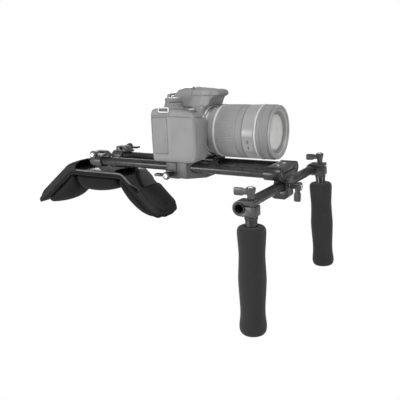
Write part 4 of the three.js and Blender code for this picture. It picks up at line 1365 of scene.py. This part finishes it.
# Back: eyecup, screen with its bezel, and buttons.
EYE_Z = 123
cup_profile = round_rect(-15.6, 113.6, 15.6, 132.4, 6, 6)
inner_profile = round_rect(-9.5, 118, 9.5, 128, 3, 6)
cup = []
for x, grow in ((-45.2, 0.93), (-46.2, 0.97), (-48.4, 1.0), (-50.2, 0.98), (-50.8, 0.93),
                (-50.6, 0.86), (-49.6, 0.8), (-47, 0.74), (-45.6, 0.72)):
    cup.append([(x, u * grow, EYE_Z + (v - EYE_Z) * grow) for u, v in cup_profile])
eyecup = lofted(cup + [cup[0]], ends=False)
shell_piece("eyecup", eyecup, "lens_rubber", replaces=["eyepiece"])
shell_piece(
    "eye_glass", slab(inner_profile, -46.4, -44.2, placed("x"), 0.4, 3), "screen"
)
bezel = slab(round_rect(-39, 41, 43, 101, 4, 5), -46.4, -44.6, placed("x"), 0.5, 3)
shell_piece("screen_bezel", bezel)
screen = slab(round_rect(-34, 45, 38, 97, 1.5, 4), -47.1, -45.6, placed("x"), 0.3, 3)
shell_piece("screen_glass", screen, "screen", replaces=["rear_screen"])
back = [lathe(
    [(0, 0), (r, 0), (r, 1), (r - 0.5, 1.5), (0, 1.5)], standing((-1, 0, 0), (0, 1, 0), -44.9, y, z),
    28, 0.2
)
        for y, z, r in (
            (-52, 52, 2.2), (-60, 52, 2.2), (-52, 42, 2.2), (-60, 42, 2.2), (26, 106, 2.3),
            (36, 106, 2.3), (50, 106, 2.3)
        )]
shell_piece("back_buttons", joined(*back))

# Front: lens release, focus lamp and the socket cover on the far side.
release = lathe([(0, 0), (4.6, 0), (4.6, 2.2), (3.9, 3), (0, 2.7)], placed("x", 24.2, 41.5, 56), 40, 0.4)
shell_piece("lens_release", release)
lamp_lens = lathe([(0, 0), (2.6, 0), (2.2, 1.2), (0, 1.7)], placed("x", 34.4, -46, 99), 32, 0.3)
shell_piece("focus_lamp", lamp_lens, "shell_light")
ports = [
    slab(round_rect(-34, z0, -6, z1, 2.5, 4), SHELL_LEFT - 1, SHELL_LEFT + 0.7, placed("y"), 0.5, 3) for z0,
    z1 in ((42, 70), (72, 98))
]
shell_piece("port_covers", joined(*ports), "lens_rubber")
# Sound holes are near-black rings with no hole cut: painted shade for the inside of each hole.
holes = [
    lathe([(0.35, 0), (0.8, 0), (0.8, 0.35), (0.35, 0.35)], placed("z", x, y, 141.35), 12, 0.05) for x,
    y in ((-2, -12), (-4, -12), (-2, 12), (-4, 12))
]
shell_piece("sound_holes", joined(*holes), "socket", sharp=38)


# ---------------------------------------------------------------- lens
LENS_AT = placed("x", 0, 0, LENS_Z)


def ring(name, profile, material, body, slot, replaces=(), sides=120, soft=0.4, ripple=None, sharp=35):
    return piece(name, lathe(profile, LENS_AT, sides, soft, ripple), material, body, replaces, sharp)


def ribs(count, depth, x0, x1, floor):
    """Grip ribs along the lens between two stations, with rounded crowns and ends."""
    def shape(r, h, a):
        if r < floor or not x0 < h < x1:
            return 0.0
        end = min(1.0, min(h - x0, x1 - h) / 1.0)
        return -depth * end * (0.5 - 0.5 * math.cos(count * a)) ** 1.6
    return shape


ring(
    "mount_ring", [(22, 25.5), (34.5, 25.3), (35.6, 27), (35.6, 28.6), (34.2, 30.7), (22, 30.7)],
    "lens_bright", "camera", "bright_trim", ["lens_mount"]
)
ring(
    "mount_flange", [(38.2, 28.2), (40.4, 25.6), (41.0, 26.0), (40.6, 27.4), (38.8, 28.9)],
    "lens_bright", "camera", "bright_trim"
)
ring(
    "barrel_rear",
    [
        (27, 31), (35.4, 31), (36.6, 33), (38, 38), (38.9, 42.2), (38.9, 43.2), (39.6, 45.6),
        (39.9, 52), (36.6, 52), (36.6, 56), (27, 56)
    ],
    "lens", "camera", "lens_shell", ["lens_barrel"]
)
ring(
    "barrel_band", [(39.5, 46.2), (40.15, 46.4), (40.4, 48.6), (40.1, 49.2), (39.5, 49.2)],
    "lens_bright", "camera", "bright_trim"
)
ring(
    "barrel_front", [(34.3, 95.4), (40.6, 95.4), (41, 96), (41, 113.6), (40.7, 115), (34.3, 115)],
    "lens", "camera", "lens_shell", sides=120
)
ring(
    "barrel_sleeve", [(34.6, 52.3), (36.5, 52.3), (36.5, 95.2), (34.6, 95.2)], "lens", "camera",
    "lens_shell"
)
zoom_profile = [(36.9, 52.4), (40.3, 52.4)] + [(41.0, x) for x in steps(54, 84, 1.0)] + [
    (40.2, 84.9), (40.2, 85.6), (40.9, 86.2), (40.9, 94.2), (40.5, 94.9), (36.9, 94.9)
]
ring(
    "zoom_grip", zoom_profile, "lens_rubber", "zoom", "lens_shell", ["zoom_ring"], 96 * 6, 0.0,
    ribs(96, 0.85, 55, 83.4, 40.8), 28
)
ring(
    "accent_band",
    [(34.3, 115.35), (41.3, 115.35), (41.6, 115.8), (41.6, 117.1), (41.3, 117.55), (34.3, 117.55)],
    "lens_bright", "zoom_tube_body", "bright_trim", ["accent_ring"]
)
focus_profile = [
    (34.3, 118), (40.9, 118), (41.0, 123.2), (40.4, 123.8), (40.4, 124.2)
] + [(41.0, x) for x in steps(124.8, 133.6, 0.8)] + [(40.3, 134.2), (40.3, 135.2), (39.6, 136), (34.3, 136)]
ring(
    "focus_grip", focus_profile, "lens_rubber", "focus", "lens_shell", ["focus_ring"], 120 * 5, 0.0,
    ribs(120, 0.6, 125.2, 133.4, 40.8), 28
)
tube_profile = [
    (31, 64), (34, 64), (34, 136.3), (39.4, 136.3), (40.2, 137), (40.2, 138.4), (39.3, 139.4),
    (37.6, 139.5), (36.8, 138.9),
    (36.4, 138.0), (35.4, 138.0), (35.1, 137.3), (34.2, 137.3), (33.9, 136.6), (33, 136.6),
    (32.7, 135.9), (31.9, 135.9), (31.6, 135.0), (31.1, 134.8),
]
ring("front_tube", tube_profile, "lens", "zoom_tube_body", "lens_shell", ["zoom_tube"], 120, 0.0)
ring(
    "front_trim", [(32.9, 136.7), (33.7, 136.8), (33.8, 137.4), (33.1, 137.3)], "lens_bright",
    "zoom_tube_body", "bright_trim", sides=120, soft=0.1
)
lugs = [
    slab(
        rect(39.4, -4.2, 40.9, 4.2), 137, 138.3,
        LENS_AT @ Matrix.Rotation(math.pi / 2 * i + 0.6, 4, "Z"), 0.25, 2
    )
    for i in range(4)
]
piece("hood_lugs", joined(*lugs), "lens", "zoom_tube_body", sharp=50)
# The front element's pale glass colour is a painted reflection.
ring(
    "front_element",
    [
        (0, 125.4), (27.4, 127.4), (27.6, 132.4), (27.2, 133.4), (24, 134.6), (19, 135.6), (13, 136.2),
        (6, 136.5), (0, 136.6)
    ],
    "glass", "zoom_tube_body", "lens_glass", ["front_glass"], 96, 0.0, None, 60
)
ring(
    "retaining_ring",
    [
        (27.8, 127.4), (30.9, 127.4), (30.9, 134.7), (30.2, 134.8), (29.9, 134.1), (29.2, 134.1),
        (28.9, 133.5), (28.1, 133.4), (27.8, 132.8)
    ],
    "lens_rubber", "zoom_tube_body", "lens_shell", soft=0.1
)
ring(
    "rear_element", [(0, 33), (18, 34.3), (26.6, 34.5), (26.6, 40), (14, 41.6), (0, 42)], "glass",
    "camera", "lens_glass", ["rear_glass"], 72, 0.0, None, 60
)

# Switch panel on the near side of the fixed barrel, and the mounting dot.
loops = []
for r in (40.6, 41.5):
    arc = [math.radians(t) for t in range(184, 216, 3)]
    loops.append(
        [(97.6, r * math.cos(a), LENS_Z + r * math.sin(a)) for a in arc]
        + [(112.4, r * math.cos(a), LENS_Z + r * math.sin(a)) for a in reversed(arc)]
    )
shell_piece("switch_panel", lofted(loops), "lens", sharp=40)
sliders = [slab(round_rect(-1.1, -2.2, 1.1, 2.2, 0.8, 3), 41.3, 42.3,
                Matrix.Translation(
                    Vector((x, 0, LENS_Z)) * MM
                ) @ Matrix.Rotation(math.radians(t), 4, "X") @ placed("z"), 0.3, 2)
           for x, t in ((105, 105), (105, 118))]
shell_piece("focus_switches", joined(*sliders))
dot = lathe(
    [(0, 0), (1.5, 0), (1.3, 0.8), (0, 1.0)],
    Matrix.Translation(
        Vector((37, 0, LENS_Z)) * MM
    ) @ Matrix.Rotation(math.radians(18), 4, "X") @ placed("z", 0, 0, 37.3),
    24, 0.2
)
shell_piece("mount_dot", dot, "shell_light")


# ---------------------------------------------------------------- light and floor
def area(name, at, aim, size, energy, ratio=1.0):
    data = bpy.data.lights.new(name, "AREA")
    data.shape = "RECTANGLE"
    data.size, data.size_y = size, size * ratio
    data.energy = energy
    o = bpy.data.objects.new(name, data)
    o.location = at
    o.rotation_euler = (Vector(aim) - Vector(at)).to_track_quat("-Z", "Y").to_euler()
    scene.collection.objects.link(o)


def studio():
    area("key", (0.25, -0.9, 1.7), (0, 0, 0), 0.7, 22)
    area("side", (-0.95, -1.55, 0.12), (-0.05, 0, 0), 0.9, 13, 0.5)
    area("front", (1.35, -0.35, 0.35), (0.1, 0, 0), 0.35, 4.5, 2.2)
    area("low_back", (-1.15, 1.35, 0.42), (-0.15, 0, 0), 1.1, 3.2, 0.35)
    world = bpy.data.worlds.new("studio")
    world.use_nodes = True
    scene.world = world
    nodes, links = world.node_tree.nodes, world.node_tree.links
    soft = nodes["Background"]
    soft.inputs["Color"].default_value = (1, 1, 1, 1)
    soft.inputs["Strength"].default_value = 0.32
    white = nodes.new("ShaderNodeBackground")
    white.inputs["Color"].default_value = (1, 1, 1, 1)
    white.inputs["Strength"].default_value = 1.0
    seen = nodes.new("ShaderNodeLightPath")
    mix = nodes.new("ShaderNodeMixShader")
    links.new(seen.outputs["Is Camera Ray"], mix.inputs[0])
    links.new(soft.outputs[0], mix.inputs[1])
    links.new(white.outputs[0], mix.inputs[2])
    links.new(mix.outputs[0], nodes["World Output"].inputs["Surface"])
    s = Shader("floor", (0.93, 0.93, 0.93), 0.9)
    s.tint((0.9, 0.9, 0.9), (0.95, 0.95, 0.95), s.noise(3, 3, 0.5))
    bright = s.node("Emission", {"Color": (1, 1, 1, 1), "Strength": 1.0}).outputs[0]
    seen = s.node("LightPath").outputs["Is Camera Ray"]
    mixed = s.node("MixShader", {0: seen, 1: s.bsdf.outputs[0], 2: bright}).outputs[0]
    s.links.new(mixed, s.nodes["Material Output"].inputs["Surface"])
    side = 60000
    floor = mesh_from(
        [(-side, -side, 0), (side, -side, 0), (side, side, 0), (-side, side, 0)], [(0, 1, 2, 3)]
    )
    floor.transform(Matrix.Translation((0, 0, cad_box[0][2] - 0.0005)))
    floor.materials.append(s.material)
    o = bpy.data.objects.new("floor", floor)
    scene.collection.objects.link(o)
    scene.view_settings.view_transform = "Standard"
    scene.view_settings.look = "None"


studio()
